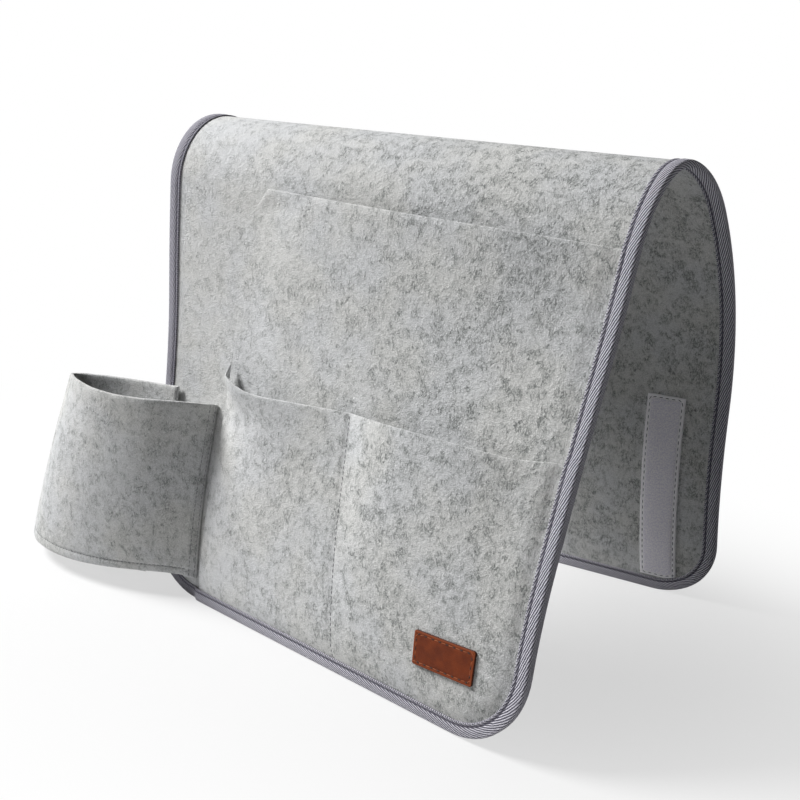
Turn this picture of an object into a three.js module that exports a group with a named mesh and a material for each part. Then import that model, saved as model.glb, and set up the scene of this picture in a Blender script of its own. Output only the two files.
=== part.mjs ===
// Bedside caddy: one felt sheet folded over a rail, with pockets, a bottle sleeve and a bound edge.
// Lengths are in millimetres. X runs across the sheet, -Y is the front leg, +Z is up.
import * as THREE from 'three';
import { mergeVertices } from 'three/addons/utils/BufferGeometryUtils.js';

// Sheet
const sheetWidth = 330;
const sheetLength = 684;
const feltThickness = 2.6;
const frontCornerRadius = 48;
const rearCornerRadius = 44;
const rearLegRun = 284;
const bendMargin = 8;

// Stance: how far the front feet stand back, and how the sheet leans along its length, in degrees
const frontFootRight = 32;
const frontFootLeft = 74.3;
const footStraight = 16;
const stationShares = [0, 0.15, 0.3, 0.4, 0.46, 0.52, 0.6, 0.8, 1];
const rightLeanAngles = [85, 66, 63, 68, 38, -15, -56, -95, -77];
const leftLeanAngles = [85, 77, 85, 83, 32, -26, -58, -91, -76];
const uprightAngle = 90;

// Edge binding
const tapeThickness = 0.7;
const flangeWidth = 9;
const foldRadius = 1.2;
const liftRamp = 5;

// Fits
const clearance = 0.3;
const edgeInset = foldRadius + clearance;

// Pocket felt, and how it is pressed flat where the binding catches it
const pocketFelt = 2;
const pressedFelt = 0.8;
const pressKnee = 4;
const pressRise = 5;

// Magazine pocket
const magazineRim = 276;
const magazineRimFall = 3.5;
const magazineInsetTop = 68;
const magazineInsetFoot = 59;
const magazineMouthBulge = 12;
const magazineBulgeStart = 150;
const magazineCornerRun = 21;
const magazineCornerCut = 16;

// Small pockets
const smallRim = 155;
const smallCornerRise = 9;
const smallCornerReach = 30;
const smallEdgeRise = 5.3;
const smallEdgeReach = 45;
const smallInsetTop = 66.5;
const smallInsetFoot = 53;
const dividerTop = 8;
const dividerFoot = 23;
const leftMouthBulge = 23.5;
const rightMouthBulge = 12.5;
const smallBulgeStart = 18;

// Bottle sleeve
const sleeveWall = 2.8;
const sleeveRim = 134;
const sleeveBackRise = 6;
const sleeveEndRise = 6;
const sleeveInsetTop = 56;
const sleeveInsetFoot = 51;
const sleeveReachTop = 130;
const sleeveReachFoot = 173;
const sleeveDepthTop = 45.5;
const sleeveDepthFoot = 41;
const sleeveBaseRise = 4;
const sleeveBaseFelt = 2.6;

// Leather patch
const patchLength = 43;
const patchHeight = 19.7;
const patchThickness = 1.4;
const patchSideInset = 33.1;
const patchFoot = 32.2;
const patchEndRise = 1.5;
const patchCorner = 1.4;

// Loop tape strips on the rear leg
const stripWidth = 26;
const stripLength = 131;
const stripThickness = 1.2;
const stripSideInset = 27.5;
const stripFootGap = 10.5;

// Mesh fineness
const rowStep = 12;
const bendStep = 5;
const walkSteps = 684;
const cornerSteps = 8;
const panelColumns = 8;
const sleeveRows = 9;
const sleeveSpanSteps = 3;

// Shapes as shares of the sizes above
const leftSpanShares = [0, 0.03, 0.07, 0.13, 0.25, 0.36, 0.46, 0.57, 0.66, 0.75, 0.83, 0.89, 0.95, 1];
const leftBulgeShares = [0, 0.27, 0.41, 0.53, 0.74, 0.93, 1, 0.93, 0.84, 0.72, 0.54, 0.33, 0.1, 0];
const rightSpanShares = [0, 0.05, 0.12, 0.22, 0.34, 0.46, 0.58, 0.7, 0.8, 0.9, 1];
const rightBulgeShares = [0, 0.14, 0.5, 0.85, 1, 0.97, 0.86, 0.66, 0.44, 0.2, 0.05];
const magazineSpanShares = [0, 0.06, 0.14, 0.24, 0.36, 0.5, 0.64, 0.76, 0.86, 0.94, 1];
const magazineBulgeShares = [0, 0.1, 0.42, 0.76, 0.95, 1, 0.95, 0.76, 0.42, 0.12, 0];
const sleeveRimReachShares = [
  0, 0.04, 0.1, 0.17, 0.24, 0.33, 0.47, 0.63, 0.79, 0.93, 1, 0.97, 0.85, 0.67, 0.48, 0.3,
];
const sleeveRimDepthShares = [
  0, 0.01, 0.08, 0.26, 0.55, 0.83, 1, 0.99, 0.87, 0.72, 0.55, 0.43, 0.26, 0.1, 0.02, 0,
];
const sleeveFootReachShares = [
  0, 0.12, 0.21, 0.27, 0.34, 0.42, 0.53, 0.68, 0.83, 0.92, 1, 0.98, 0.88, 0.72, 0.5, 0.25,
];
const sleeveFootDepthShares = [
  0, 0, 0.02, 0.13, 0.38, 0.65, 0.89, 1, 0.95, 0.76, 0.48, 0.29, 0.13, 0.04, 0.01, 0,
];
const sleeveFrontCount = 11;
const baseFirstShare = 0.24;
const baseLastShare = 0.96;
const bulgeCurveShare = 0.8;
const cornerCurveCount = 3;
const sleeveEndCount = 2.8;

// Colours seen in the photograph
const feltGrey = 0xa9a9ad;
const tapeLilac = 0x84828f;
const leatherBrown = 0x733a20;
const loopGrey = 0x918f9c;

const halfWidth = sheetWidth / 2;
const bendStart = magazineRim + bendMargin;
const bendEnd = sheetLength - rearLegRun;
const tapeSeat = clearance + tapeThickness;
const radians = Math.PI / 180;

const clamp01 = (value) => Math.min(1, Math.max(0, value));
const mix = (a, b, share) => a + (b - a) * share;
const smooth = (share) => share * share * (3 - 2 * share);

// Reads a table of shares at one place by straight lines between its entries.
function readTable(places, values, place) {
  let i = 0;
  while (i < places.length - 2 && place > places[i + 1]) {
    i += 1;
  }
  const share = clamp01((place - places[i]) / (places[i + 1] - places[i]));
  return mix(values[i], values[i + 1], share);
}

// The lean of one edge at a run along the sheet; both feet end upright so that they stand flat.
function leanAt(run, angles) {
  const inner = Math.min(Math.max(run, footStraight), sheetLength - footStraight);
  const lean = readTable(stationShares, angles, inner / sheetLength);
  if (run < footStraight) {
    return mix(uprightAngle, lean, run / footStraight);
  }
  if (run > sheetLength - footStraight) {
    return mix(-uprightAngle, lean, (sheetLength - run) / footStraight);
  }
  return lean;
}

// Walks one edge of the sheet from the front foot to the rear foot, then closes it on the floor.
function walkEdge(firstY, angles) {
  const step = sheetLength / walkSteps;
  const edge = [];
  let y = firstY;
  let z = 0;
  for (let i = 0; i <= walkSteps; i += 1) {
    const lean = leanAt(i * step, angles) * radians;
    edge.push({ y, z, ny: -Math.sin(lean), nz: Math.cos(lean) });
    const middle = leanAt((i + 0.5) * step, angles) * radians;
    y += Math.cos(middle) * step;
    z += Math.sin(middle) * step;
  }
  const error = edge[walkSteps].z;
  edge.forEach((point, i) => {
    point.z -= error * (i / walkSteps);
  });
  return edge;
}

const rightEdge = walkEdge(frontFootRight, rightLeanAngles);
const leftEdge = walkEdge(frontFootLeft, leftLeanAngles);

// Puts a point of the flat pattern in space: across from the centre, run along, height off the felt.
function place(across, run, height) {
  const index = clamp01(run / sheetLength) * walkSteps;
  const i = Math.min(Math.floor(index), walkSteps - 1);
  const part = index - i;
  const side = 0.5 + across / sheetWidth;
  const blend = (key) => mix(
    mix(leftEdge[i][key], leftEdge[i + 1][key], part),
    mix(rightEdge[i][key], rightEdge[i + 1][key], part),
    side,
  );
  const ny = blend('ny');
  const nz = blend('nz');
  const off = (height - tapeSeat) / Math.hypot(ny, nz);
  return new THREE.Vector3(across, blend('y') + ny * off, blend('z') + nz * off);
}

// Turns every face out when the body has come out the other way round.
function facesOut(positions, indices) {
  let volume = 0;
  const a = new THREE.Vector3();
  const b = new THREE.Vector3();
  const c = new THREE.Vector3();
  for (let i = 0; i < indices.length; i += 3) {
    a.fromArray(positions, 3 * indices[i]);
    b.fromArray(positions, 3 * indices[i + 1]);
    c.fromArray(positions, 3 * indices[i + 2]);
    volume += a.dot(b.cross(c));
  }
  if (volume < 0) {
    for (let i = 0; i < indices.length; i += 3) {
      [indices[i + 1], indices[i + 2]] = [indices[i + 2], indices[i + 1]];
    }
  }
  const geometry = new THREE.BufferGeometry();
  geometry.setAttribute('position', new THREE.Float32BufferAttribute(positions, 3));
  geometry.setIndex(indices);
  return mergeVertices(geometry);
}

// Lofts a sheet through sections; each section has an outer and an inner line of as many points.
function loftSheet(sections) {
  const count = sections[0].outer.length;
  const ring = 2 * count;
  const positions = [];
  const indices = [];
  sections.forEach(({ outer, inner }) => {
    [...outer, ...inner.slice().reverse()].forEach((point) => positions.push(point.x, point.y, point.z));
  });
  for (let i = 0; i < sections.length - 1; i += 1) {
    for (let k = 0; k < ring; k += 1) {
      const a = i * ring + k;
      const b = i * ring + ((k + 1) % ring);
      indices.push(a, b, b + ring, a, b + ring, a + ring);
    }
  }
  [0, sections.length - 1].forEach((i) => {
    for (let k = 0; k < count - 1; k += 1) {
      const a = i * ring + k;
      const b = i * ring + k + 1;
      const c = i * ring + ring - 2 - k;
      const d = i * ring + ring - 1 - k;
      const quad = i === 0 ? [a, c, b, a, d, c] : [a, b, c, a, c, d];
      indices.push(...quad);
    }
  });
  return facesOut(positions, indices);
}

// Joins two matching loops of points into a flat plate.
function plate(lower, upper) {
  const flat = lower.map((point) => new THREE.Vector2(point.x, point.y));
  const caps = THREE.ShapeUtils.triangulateShape(flat, []);
  const count = lower.length;
  const positions = [];
  const indices = [];
  [...lower, ...upper].forEach((point) => positions.push(point.x, point.y, point.z));
  caps.forEach(([a, b, c]) => {
    indices.push(a, c, b, a + count, b + count, c + count);
  });
  const along = THREE.ShapeUtils.area(flat) > 0;
  for (let k = 0; k < count; k += 1) {
    const next = (k + 1) % count;
    const quad = along
      ? [k, next, next + count, k, next + count, k + count]
      : [k, next + count, next, k, k + count, next + count];
    indices.push(...quad);
  }
  return facesOut(positions, indices);
}

// Rounded corners of the sheet: angles shared by the felt, the pockets and the binding
const cornerAngles = Array.from({ length: cornerSteps + 1 }, (_, i) => (i / cornerSteps) * (Math.PI / 2));

// Half the width of the felt at a distance from its foot edge.
function halfWidthAt(fromFoot, radius) {
  const reach = radius - edgeInset;
  const rise = Math.max(0, radius - fromFoot);
  return halfWidth - radius + Math.sqrt(Math.max(0, reach * reach - rise * rise));
}

// Distance from the bound edge of the front leg, measured in across the felt.
function edgeDistance(across, run) {
  const overSide = Math.abs(across) - (halfWidth - frontCornerRadius);
  const overFoot = frontCornerRadius - run;
  if (overSide > 0 && overFoot > 0) {
    return frontCornerRadius - Math.hypot(overSide, overFoot);
  }
  return Math.min(halfWidth - Math.abs(across), run);
}

// Distances from a foot edge at which the felt has a row, up to a limit.
function rowsFromFoot(radius, limit) {
  const rows = cornerAngles.map((angle) => radius - (radius - edgeInset) * Math.cos(angle));
  for (let row = radius + rowStep; row < limit - rowStep / 3; row += rowStep) {
    rows.push(row);
  }
  rows.push(limit);
  return rows;
}

// Even rows between two runs.
function rowsBetween(first, last, step) {
  const count = Math.ceil((last - first) / step);
  return Array.from({ length: count + 1 }, (_, i) => mix(first, last, i / count));
}

const columnShares = Array.from({ length: panelColumns + 1 }, (_, i) => (2 * i) / panelColumns - 1);

// One piece of the main felt, from its rows and its half width at each.
function feltPiece(rows, widthAt) {
  return loftSheet(rows.map((run) => {
    const reach = widthAt(run);
    return {
      outer: columnShares.map((share) => place(share * reach, run, 0)),
      inner: columnShares.map((share) => place(share * reach, run, -feltThickness)),
    };
  }));
}

const frontRows = rowsFromFoot(frontCornerRadius, bendStart - clearance / 2);
const rearRows = rowsFromFoot(rearCornerRadius, rearLegRun - clearance / 2);
const frontPanel = feltPiece(frontRows, (run) => halfWidthAt(run, frontCornerRadius));
const bendRows = rowsBetween(bendStart + clearance / 2, bendEnd - clearance / 2, bendStep);
const topBend = feltPiece(bendRows, () => halfWidth - edgeInset);
const rearPanel = feltPiece(
  rearRows.map((row) => sheetLength - row),
  (run) => halfWidthAt(sheetLength - run, rearCornerRadius),
);

// Left edges of the two pocket sheets, the line between the small pockets, and their rim at the tape
const magazineLeft = (run) => {
  const line = -halfWidth + mix(magazineInsetFoot, magazineInsetTop, run / magazineRim);
  const cut = clamp01((run - magazineRim + magazineCornerRun) / magazineCornerRun);
  return line + magazineCornerCut * cut;
};
const smallLeft = (run) => -halfWidth + mix(smallInsetFoot, smallInsetTop, run / smallRim);
const dividerAt = (run) => mix(dividerFoot, dividerTop, run / smallRim);
const smallRimAtBinding = smallRim + smallEdgeRise;

// How much the pocket felt under the binding lifts the tape at a place on the edge.
function liftAt(across, run) {
  const cover = (over) => clamp01(1 - (over - clearance) / liftRamp);
  const layer = pressedFelt + clearance;
  const magazine = cover(magazineLeft(0) - across) * cover(run - magazineRim);
  const small = cover(smallLeft(0) - across) * cover(run - smallRimAtBinding);
  return layer * Math.max(magazine, 2 * small);
}

// The folded tape at one place on the edge; inward points across the felt.
function tapeSection(across, run, inAcross, inRun, lift) {
  const top = tapeSeat + lift;
  const bottom = -feltThickness - tapeSeat;
  const at = (depth, height) => place(across + inAcross * depth, run + inRun * depth, height);
  const skin = tapeThickness;
  return {
    outer: [
      at(flangeWidth, top),
      at(foldRadius, top),
      at(0, top - foldRadius),
      at(0, bottom + foldRadius),
      at(foldRadius, bottom),
      at(flangeWidth, bottom),
    ],
    inner: [
      at(flangeWidth, top - skin),
      at(foldRadius, top - skin),
      at(skin, top - foldRadius),
      at(skin, bottom + foldRadius),
      at(foldRadius, bottom + skin),
      at(flangeWidth, bottom + skin),
    ],
  };
}

// The binding of one leg: down one side, round both corners and up the other side.
function legBinding(rows, radius, toRun, liftOf, extraRows, extraAcross) {
  const side = [...rows.filter((row) => row > radius + clearance), ...extraRows].sort((a, b) => b - a);
  const middle = halfWidth - radius;
  const straight = [...columnShares.map((share) => share * middle), ...extraAcross]
    .filter((across) => Math.abs(across) < middle - clearance)
    .sort((a, b) => b - a);
  const along = [];
  side.forEach((row) => along.push([halfWidth, row, -1, 0]));
  cornerAngles.forEach((angle) => {
    const out = Math.cos(angle);
    const down = Math.sin(angle);
    along.push([middle + radius * out, radius - radius * down, -out, down]);
  });
  straight.forEach((across) => along.push([across, 0, 0, 1]));
  cornerAngles.slice().reverse().forEach((angle) => {
    const out = Math.cos(angle);
    const down = Math.sin(angle);
    along.push([-middle - radius * out, radius - radius * down, out, down]);
  });
  side.slice().reverse().forEach((row) => along.push([-halfWidth, row, 1, 0]));
  const way = toRun(1) - toRun(0);
  return loftSheet(along.map(([across, row, inAcross, inRun]) => (
    tapeSection(across, toRun(row), inAcross, inRun * way, liftOf(across, row))
  )));
}

const bindingFront = legBinding(
  frontRows,
  frontCornerRadius,
  (row) => row,
  liftAt,
  [smallRimAtBinding + clearance, smallRimAtBinding + liftRamp, magazineRim + clearance],
  [smallLeft(0) - clearance, smallLeft(0) - liftRamp, magazineLeft(0) - clearance],
);
const bindingRear = legBinding(
  rearRows,
  rearCornerRadius,
  (row) => sheetLength - row,
  () => 0,
  [],
  [],
);
const bindingBend = (sign) => loftSheet(
  bendRows.map((run) => tapeSection(sign * halfWidth, run, -sign, 0, 0)),
);

// Felt of a pocket sheet: pressed flat under the binding, full thickness clear of it.
function pocketThickness(across, run) {
  const clear = (edgeDistance(across, run) - flangeWidth - pressKnee) / pressRise;
  return mix(pressedFelt, pocketFelt, clamp01(clear));
}

// Columns of a pocket sheet: the given shares of its open part, then the margin under the binding.
function pocketColumns(edge) {
  const inset = (distance) => edge + edgeInset - distance;
  return [inset(flangeWidth + pressKnee), inset(flangeWidth), edge];
}
const openEdge = (edge) => edge + edgeInset - flangeWidth - pressKnee - pressRise;

// Magazine pocket: flat behind the small pockets, standing open at its mouth
const magazineTop = (across, run) => clearance + pocketThickness(across, run);
const magazineRows = frontRows.filter((row) => row < magazineRim - magazineCornerRun);
magazineRows.push(
  magazineRim - magazineCornerRun,
  magazineRim - magazineCornerRun / 2,
  magazineRim,
);
const magazinePocket = loftSheet(magazineRows.map((row) => {
  const edge = halfWidthAt(row, frontCornerRadius);
  const left = magazineLeft(row);
  const opening = smooth(clamp01((row - magazineBulgeStart) / (magazineRim - magazineBulgeStart)));
  const outer = [];
  const inner = [];
  const add = (across, bulge) => {
    const fall = magazineRimFall * (0.5 - (across - left) / (edge - left)) * (row / magazineRim);
    const run = row + fall;
    outer.push(place(across, run, magazineTop(across, row) + bulge));
    inner.push(place(across, run, clearance + bulge));
  };
  magazineSpanShares.forEach((share, i) => {
    const bulge = magazineMouthBulge * opening * magazineBulgeShares[i];
    add(mix(left, openEdge(edge), share), bulge);
  });
  pocketColumns(edge).forEach((across) => add(across, 0));
  return { outer, inner };
}));

// Small pockets: one sheet sewn down at its sides, along its divider and at the foot
function smallBulge(across, run) {
  const opening = clamp01((run - smallBulgeStart) / (smallRim - smallBulgeStart));
  const open = opening ** bulgeCurveShare;
  const left = smallLeft(run);
  const divider = dividerAt(run);
  const edge = openEdge(halfWidthAt(run, frontCornerRadius));
  if (across < divider) {
    const share = (across - left) / (divider - left);
    return leftMouthBulge * open * readTable(leftSpanShares, leftBulgeShares, share);
  }
  const share = (across - divider) / (edge - divider);
  if (share > 1) {
    return 0;
  }
  return rightMouthBulge * open * readTable(rightSpanShares, rightBulgeShares, share);
}
const smallSeat = (across, run) => magazineTop(across, run) + clearance + smallBulge(across, run);
const smallTop = (across, run) => smallSeat(across, run) + pocketThickness(across, run);
const smallRows = frontRows.filter((row) => row < smallRim - rowStep / 3);
smallRows.push(smallRim);
const smallPocket = loftSheet(smallRows.map((row) => {
  const edge = halfWidthAt(row, frontCornerRadius);
  const left = smallLeft(row);
  const divider = dividerAt(row);
  const columns = [
    ...leftSpanShares.map((share) => mix(left, divider, share)),
    ...rightSpanShares.slice(1).map((share) => mix(divider, openEdge(edge), share)),
    ...pocketColumns(edge),
  ];
  const rise = (across) => {
    const corner = smallCornerRise * Math.max(0, 1 - (across - left) / smallCornerReach) ** cornerCurveCount;
    const bound = smallEdgeRise * smooth(clamp01(1 - (edge - across) / smallEdgeReach));
    return (corner + bound) * (row / smallRim);
  };
  return {
    outer: columns.map((across) => place(across, row + rise(across), smallTop(across, row))),
    inner: columns.map((across) => place(across, row + rise(across), smallSeat(across, row))),
  };
}));

// Bottle sleeve: a strip of felt that leaves the panel, runs round and comes back in front of its edge
const sleeveFoot = flangeWidth + clearance;
const sleeveSeat = tapeSeat + clearance;
function sleeveCurve(reachShares, depthShares, inset, reach, depth) {
  const points = reachShares.map((share, i) => {
    const seat = i < sleeveFrontCount ? sleeveSeat + sleeveWall : sleeveSeat;
    return new THREE.Vector3(inset - halfWidth - share * reach, mix(seat, depth, depthShares[i]), 0);
  });
  return new THREE.CatmullRomCurve3(points, false, 'centripetal');
}
const rimCurve = sleeveCurve(
  sleeveRimReachShares,
  sleeveRimDepthShares,
  sleeveInsetTop,
  sleeveReachTop,
  sleeveDepthTop,
);
const footCurve = sleeveCurve(
  sleeveFootReachShares,
  sleeveFootDepthShares,
  sleeveInsetFoot,
  sleeveReachFoot,
  sleeveDepthFoot,
);
const sleeveSpans = sleeveRimReachShares.length - 1;
const sleeveParams = Array.from(
  { length: sleeveSpans * sleeveSpanSteps + 1 },
  (_, i) => i / (sleeveSpans * sleeveSpanSteps),
);

// A point of the sleeve wall in plan, at a share of its height and a depth into the wall.
function sleevePlan(param, upShare, depth) {
  const foot = footCurve.getPoint(param);
  const rim = rimCurve.getPoint(param);
  const point = foot.lerp(rim, upShare);
  const tangent = footCurve.getTangent(param).lerp(rimCurve.getTangent(param), upShare).normalize();
  return new THREE.Vector2(point.x - tangent.y * depth, point.y + tangent.x * depth);
}

// The height of the sleeve's rim at a place along the strip; it climbs towards its back end.
function sleeveRimAt(param) {
  const back = clamp01((param * sleeveSpans - sleeveFrontCount + 1) / (sleeveSpans - sleeveFrontCount + 1));
  return sleeveRim + sleeveBackRise * back * back;
}

// The height of the sleeve's foot edge; it climbs towards the end that is sewn to the panel.
function sleeveFootAt(param) {
  return sleeveFoot + sleeveEndRise * smooth(clamp01(1 - (param * sleeveSpans) / sleeveEndCount));
}

function sleevePoint(param, upShare, depth) {
  const plan = sleevePlan(param, upShare, depth);
  return place(plan.x, mix(sleeveFootAt(param), sleeveRimAt(param), upShare), plan.y);
}
const bottleSleeve = loftSheet(Array.from({ length: sleeveRows + 1 }, (_, i) => ({
  outer: sleeveParams.map((param) => sleevePoint(param, i / sleeveRows, 0)),
  inner: sleeveParams.map((param) => sleevePoint(param, i / sleeveRows, sleeveWall)),
})));

// Felt base of the sleeve, just inside its wall
const baseGap = 2 * clearance;
const baseParams = sleeveParams.filter((param) => param >= baseFirstShare && param <= baseLastShare);
function baseLoop(run) {
  const upShare = (run - sleeveFoot) / (sleeveRim - sleeveFoot);
  return baseParams.map((param) => {
    const plan = sleevePlan(param, upShare, sleeveWall + baseGap);
    return place(plan.x, run, plan.y);
  });
}
const baseRun = sleeveFoot + sleeveBaseRise;
const sleeveBase = plate(baseLoop(baseRun), baseLoop(baseRun + sleeveBaseFelt));

// Leather patch low on the right-hand small pocket
const patchRight = halfWidth - patchSideInset;
const patchColumns = [
  0,
  patchCorner * 0.3,
  patchCorner,
  ...rowsBetween(patchCorner, patchLength - patchCorner, rowStep / 2).slice(1, -1),
  patchLength - patchCorner,
  patchLength - patchCorner * 0.3,
  patchLength,
];
const leatherPatch = loftSheet(patchColumns.map((column) => {
  const across = patchRight - patchLength + column;
  const fromEnd = Math.min(column, patchLength - column);
  const back = Math.max(0, patchCorner - fromEnd);
  const trim = patchCorner - Math.sqrt(patchCorner * patchCorner - back * back);
  const low = patchFoot + mix(-patchEndRise, patchEndRise, column / patchLength) / 2;
  const runs = rowsBetween(low + trim, low + patchHeight - trim, patchHeight / 3);
  const seat = (run) => smallTop(across, run) + clearance;
  return {
    outer: runs.map((run) => place(across, run, seat(run) + patchThickness)),
    inner: runs.map((run) => place(across, run, seat(run))),
  };
}));

// Loop tape on the inner face of the rear leg, one strip near each side, cut to clear the bound corner
function loopStrip(sign) {
  const reach = rearCornerRadius - flangeWidth - clearance;
  const footAt = (across) => {
    const over = Math.max(0, Math.abs(across) - (halfWidth - rearCornerRadius));
    return Math.max(stripFootGap, rearCornerRadius - Math.sqrt(reach * reach - over * over) + clearance);
  };
  const columns = rowsBetween(halfWidth - stripSideInset, halfWidth - stripSideInset - stripWidth, 0 - rowStep / 2);
  const seat = -feltThickness - clearance;
  const rows = rowsBetween(0, 1, rowStep / stripLength);
  return loftSheet(rows.map((share) => {
    const at = (column, height) => {
      const run = sheetLength - mix(stripFootGap + stripLength, footAt(column), share);
      return place(sign * column, run, height);
    };
    return {
      outer: columns.map((column) => at(column, seat)),
      inner: columns.map((column) => at(column, seat - stripThickness)),
    };
  }));
}

const felt = { color: feltGrey, roughness: 0.95 };
const tape = { color: tapeLilac, roughness: 0.85 };
const leather = { color: leatherBrown, roughness: 0.6 };
const loop = { color: loopGrey, roughness: 0.95 };

const pieces = [
  ['front_panel', frontPanel, felt],
  ['top_bend', topBend, felt],
  ['rear_panel', rearPanel, felt],
  ['binding_front', bindingFront, tape],
  ['binding_bend_left', bindingBend(-1), tape],
  ['binding_bend_right', bindingBend(1), tape],
  ['binding_rear', bindingRear, tape],
  ['magazine_pocket', magazinePocket, felt],
  ['small_pocket', smallPocket, felt],
  ['bottle_sleeve', bottleSleeve, felt],
  ['sleeve_base', sleeveBase, felt],
  ['leather_patch', leatherPatch, leather],
  ['loop_strip_right', loopStrip(1), loop],
  ['loop_strip_left', loopStrip(-1), loop],
];

const caddy = new THREE.Group();
caddy.name = 'bedside_caddy';
pieces.forEach(([name, geometry, look]) => {
  const material = new THREE.MeshStandardMaterial({ ...look, metalness: 0 });
  const mesh = new THREE.Mesh(geometry, material);
  mesh.name = name;
  caddy.add(mesh);
});

// The origin is under the middle of the whole part, on the floor.
const bounds = new THREE.Box3().setFromObject(caddy);
const centre = bounds.getCenter(new THREE.Vector3());
caddy.children.forEach((mesh) => mesh.geometry.translate(-centre.x, -centre.y, -bounds.min.z));
console.log('moved by', -centre.x, -centre.y, -bounds.min.z);

export default caddy;
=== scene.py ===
# %% [markdown]
# # A felt bedside caddy
# The real object is one long sheet of stiff grey felt, folded over a bed rail so that both
# legs hang down. Pockets are sewn on its front leg, a bottle sleeve stands out at one side,
# and a twill tape is folded round the whole edge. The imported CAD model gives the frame:
# every size and every place below comes from it, and this file only adds the looks.

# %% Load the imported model
import math
import bpy
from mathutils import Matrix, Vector


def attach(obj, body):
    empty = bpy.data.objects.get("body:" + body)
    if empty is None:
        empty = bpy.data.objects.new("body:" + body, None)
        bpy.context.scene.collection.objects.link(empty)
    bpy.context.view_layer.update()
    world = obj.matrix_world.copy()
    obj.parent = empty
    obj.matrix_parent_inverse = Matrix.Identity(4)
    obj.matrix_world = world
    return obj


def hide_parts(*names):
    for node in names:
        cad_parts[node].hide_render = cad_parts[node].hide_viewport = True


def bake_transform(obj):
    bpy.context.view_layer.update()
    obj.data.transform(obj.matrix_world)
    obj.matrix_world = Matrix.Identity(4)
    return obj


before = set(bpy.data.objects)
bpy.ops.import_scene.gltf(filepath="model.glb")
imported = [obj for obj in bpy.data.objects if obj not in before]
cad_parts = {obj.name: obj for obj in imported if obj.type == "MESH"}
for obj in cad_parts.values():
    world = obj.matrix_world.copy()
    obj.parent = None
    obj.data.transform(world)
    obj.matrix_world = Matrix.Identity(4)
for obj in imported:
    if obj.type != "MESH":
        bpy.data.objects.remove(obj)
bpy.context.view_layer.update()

# %% [markdown]
# ## The sizes of the cut pieces
# A sewn product is designed flat. Each piece is drawn on the flat felt by three numbers: how
# far it lies across from the middle, how far it runs from the front foot, and how high it
# stands off the felt. The pieces could be drawn in their folded shape at once, but then each
# fold would have to be measured anew for each layer. These are the CAD model's own sizes, in
# millimetres.

# %% Sizes, in millimetres
MM = 0.001
SHEET_WIDTH = 330
SHEET_LENGTH = 684
HALF_WIDTH = SHEET_WIDTH / 2
FELT = 2.6
FRONT_CORNER = 48
REAR_CORNER = 44
TAPE = 0.7
FLANGE = 9
GAP = 0.3
TAPE_SEAT = GAP + TAPE
EDGE_INSET = 1.5
POCKET_FELT = 2
PRESSED_FELT = 0.8
MAGAZINE_RIM = 276
SMALL_RIM = 155
SMALL_EDGE_RISE = 5.3
SLEEVE_RIM = 134
SLEEVE_FOOT = FLANGE + GAP
FRAME_SHIFT = (61.0012, -154.4472)
print("the flat sheet is", SHEET_WIDTH, "x", SHEET_LENGTH, "mm")

# %% [markdown]
# ## How the sheet folds
# Seen from the side, the sheet's left and right edges lean differently along their length,
# because soft felt twists a little as it hangs. A lattice or a cloth simulation could bend
# the sheet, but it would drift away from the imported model. Walking along each edge in small
# steps with the leans from the CAD model gives two profile lines of the right length, and the
# sheet is the ruled surface between them. Small helpers for tables and easing come first.

# %% Tables and easing
def clamp(value, low=0.0, high=1.0):
    return min(high, max(low, value))


def mix(a, b, share):
    return a + (b - a) * share


def ease(share):
    share = clamp(share)
    return share * share * (3 - 2 * share)


def find_span(places, place):
    """The number of the span of a table that a place falls in."""
    i = 0
    while i < len(places) - 2 and place > places[i + 1]:
        i += 1
    return i


def read_table(places, values, place):
    """A smooth curve through a table, flat past its ends."""
    place = clamp(place, places[0], places[-1])
    i = find_span(places, place)

    def slope(k):
        a, b = max(k - 1, 0), min(k + 1, len(places) - 1)
        return (values[b] - values[a]) / (places[b] - places[a])

    wide = places[i + 1] - places[i]
    t = (place - places[i]) / wide
    return (
        values[i] * (1 + 2 * t) * (1 - t) ** 2
        + slope(i) * wide * t * (1 - t) ** 2
        + values[i + 1] * t * t * (3 - 2 * t)
        + slope(i + 1) * wide * t * t * (t - 1)
    )


print("an ease at a quarter is", ease(0.25))

# %% Walk the two side edges from the front foot to the rear foot
STATIONS = [0, 0.15, 0.3, 0.4, 0.46, 0.52, 0.6, 0.8, 1]
RIGHT_LEANS = [85, 66, 63, 68, 38, -15, -56, -95, -77]
LEFT_LEANS = [85, 77, 85, 83, 32, -26, -58, -91, -76]
UPRIGHT = 90
FOOT_STRAIGHT = 16
RIGHT_FOOT, LEFT_FOOT = 32, 74.3
STEPS = 684


def lean_at(run, leans):
    inner = clamp(run, FOOT_STRAIGHT, SHEET_LENGTH - FOOT_STRAIGHT) / SHEET_LENGTH
    i = find_span(STATIONS, inner)
    part = clamp((inner - STATIONS[i]) / (STATIONS[i + 1] - STATIONS[i]))
    lean = mix(leans[i], leans[i + 1], part)
    if run < FOOT_STRAIGHT:
        return mix(UPRIGHT, lean, run / FOOT_STRAIGHT)
    if run > SHEET_LENGTH - FOOT_STRAIGHT:
        return mix(-UPRIGHT, lean, (SHEET_LENGTH - run) / FOOT_STRAIGHT)
    return lean


def walk_edge(first_y, leans):
    step = SHEET_LENGTH / STEPS
    y, z, edge = first_y, 0.0, []
    for i in range(STEPS + 1):
        lean = math.radians(lean_at(i * step, leans))
        edge.append([y, z, -math.sin(lean), math.cos(lean)])
        middle = math.radians(lean_at((i + 0.5) * step, leans))
        y += math.cos(middle) * step
        z += math.sin(middle) * step
    error = edge[-1][1]
    for i, point in enumerate(edge):
        point[1] -= error * i / STEPS
    return edge


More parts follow.
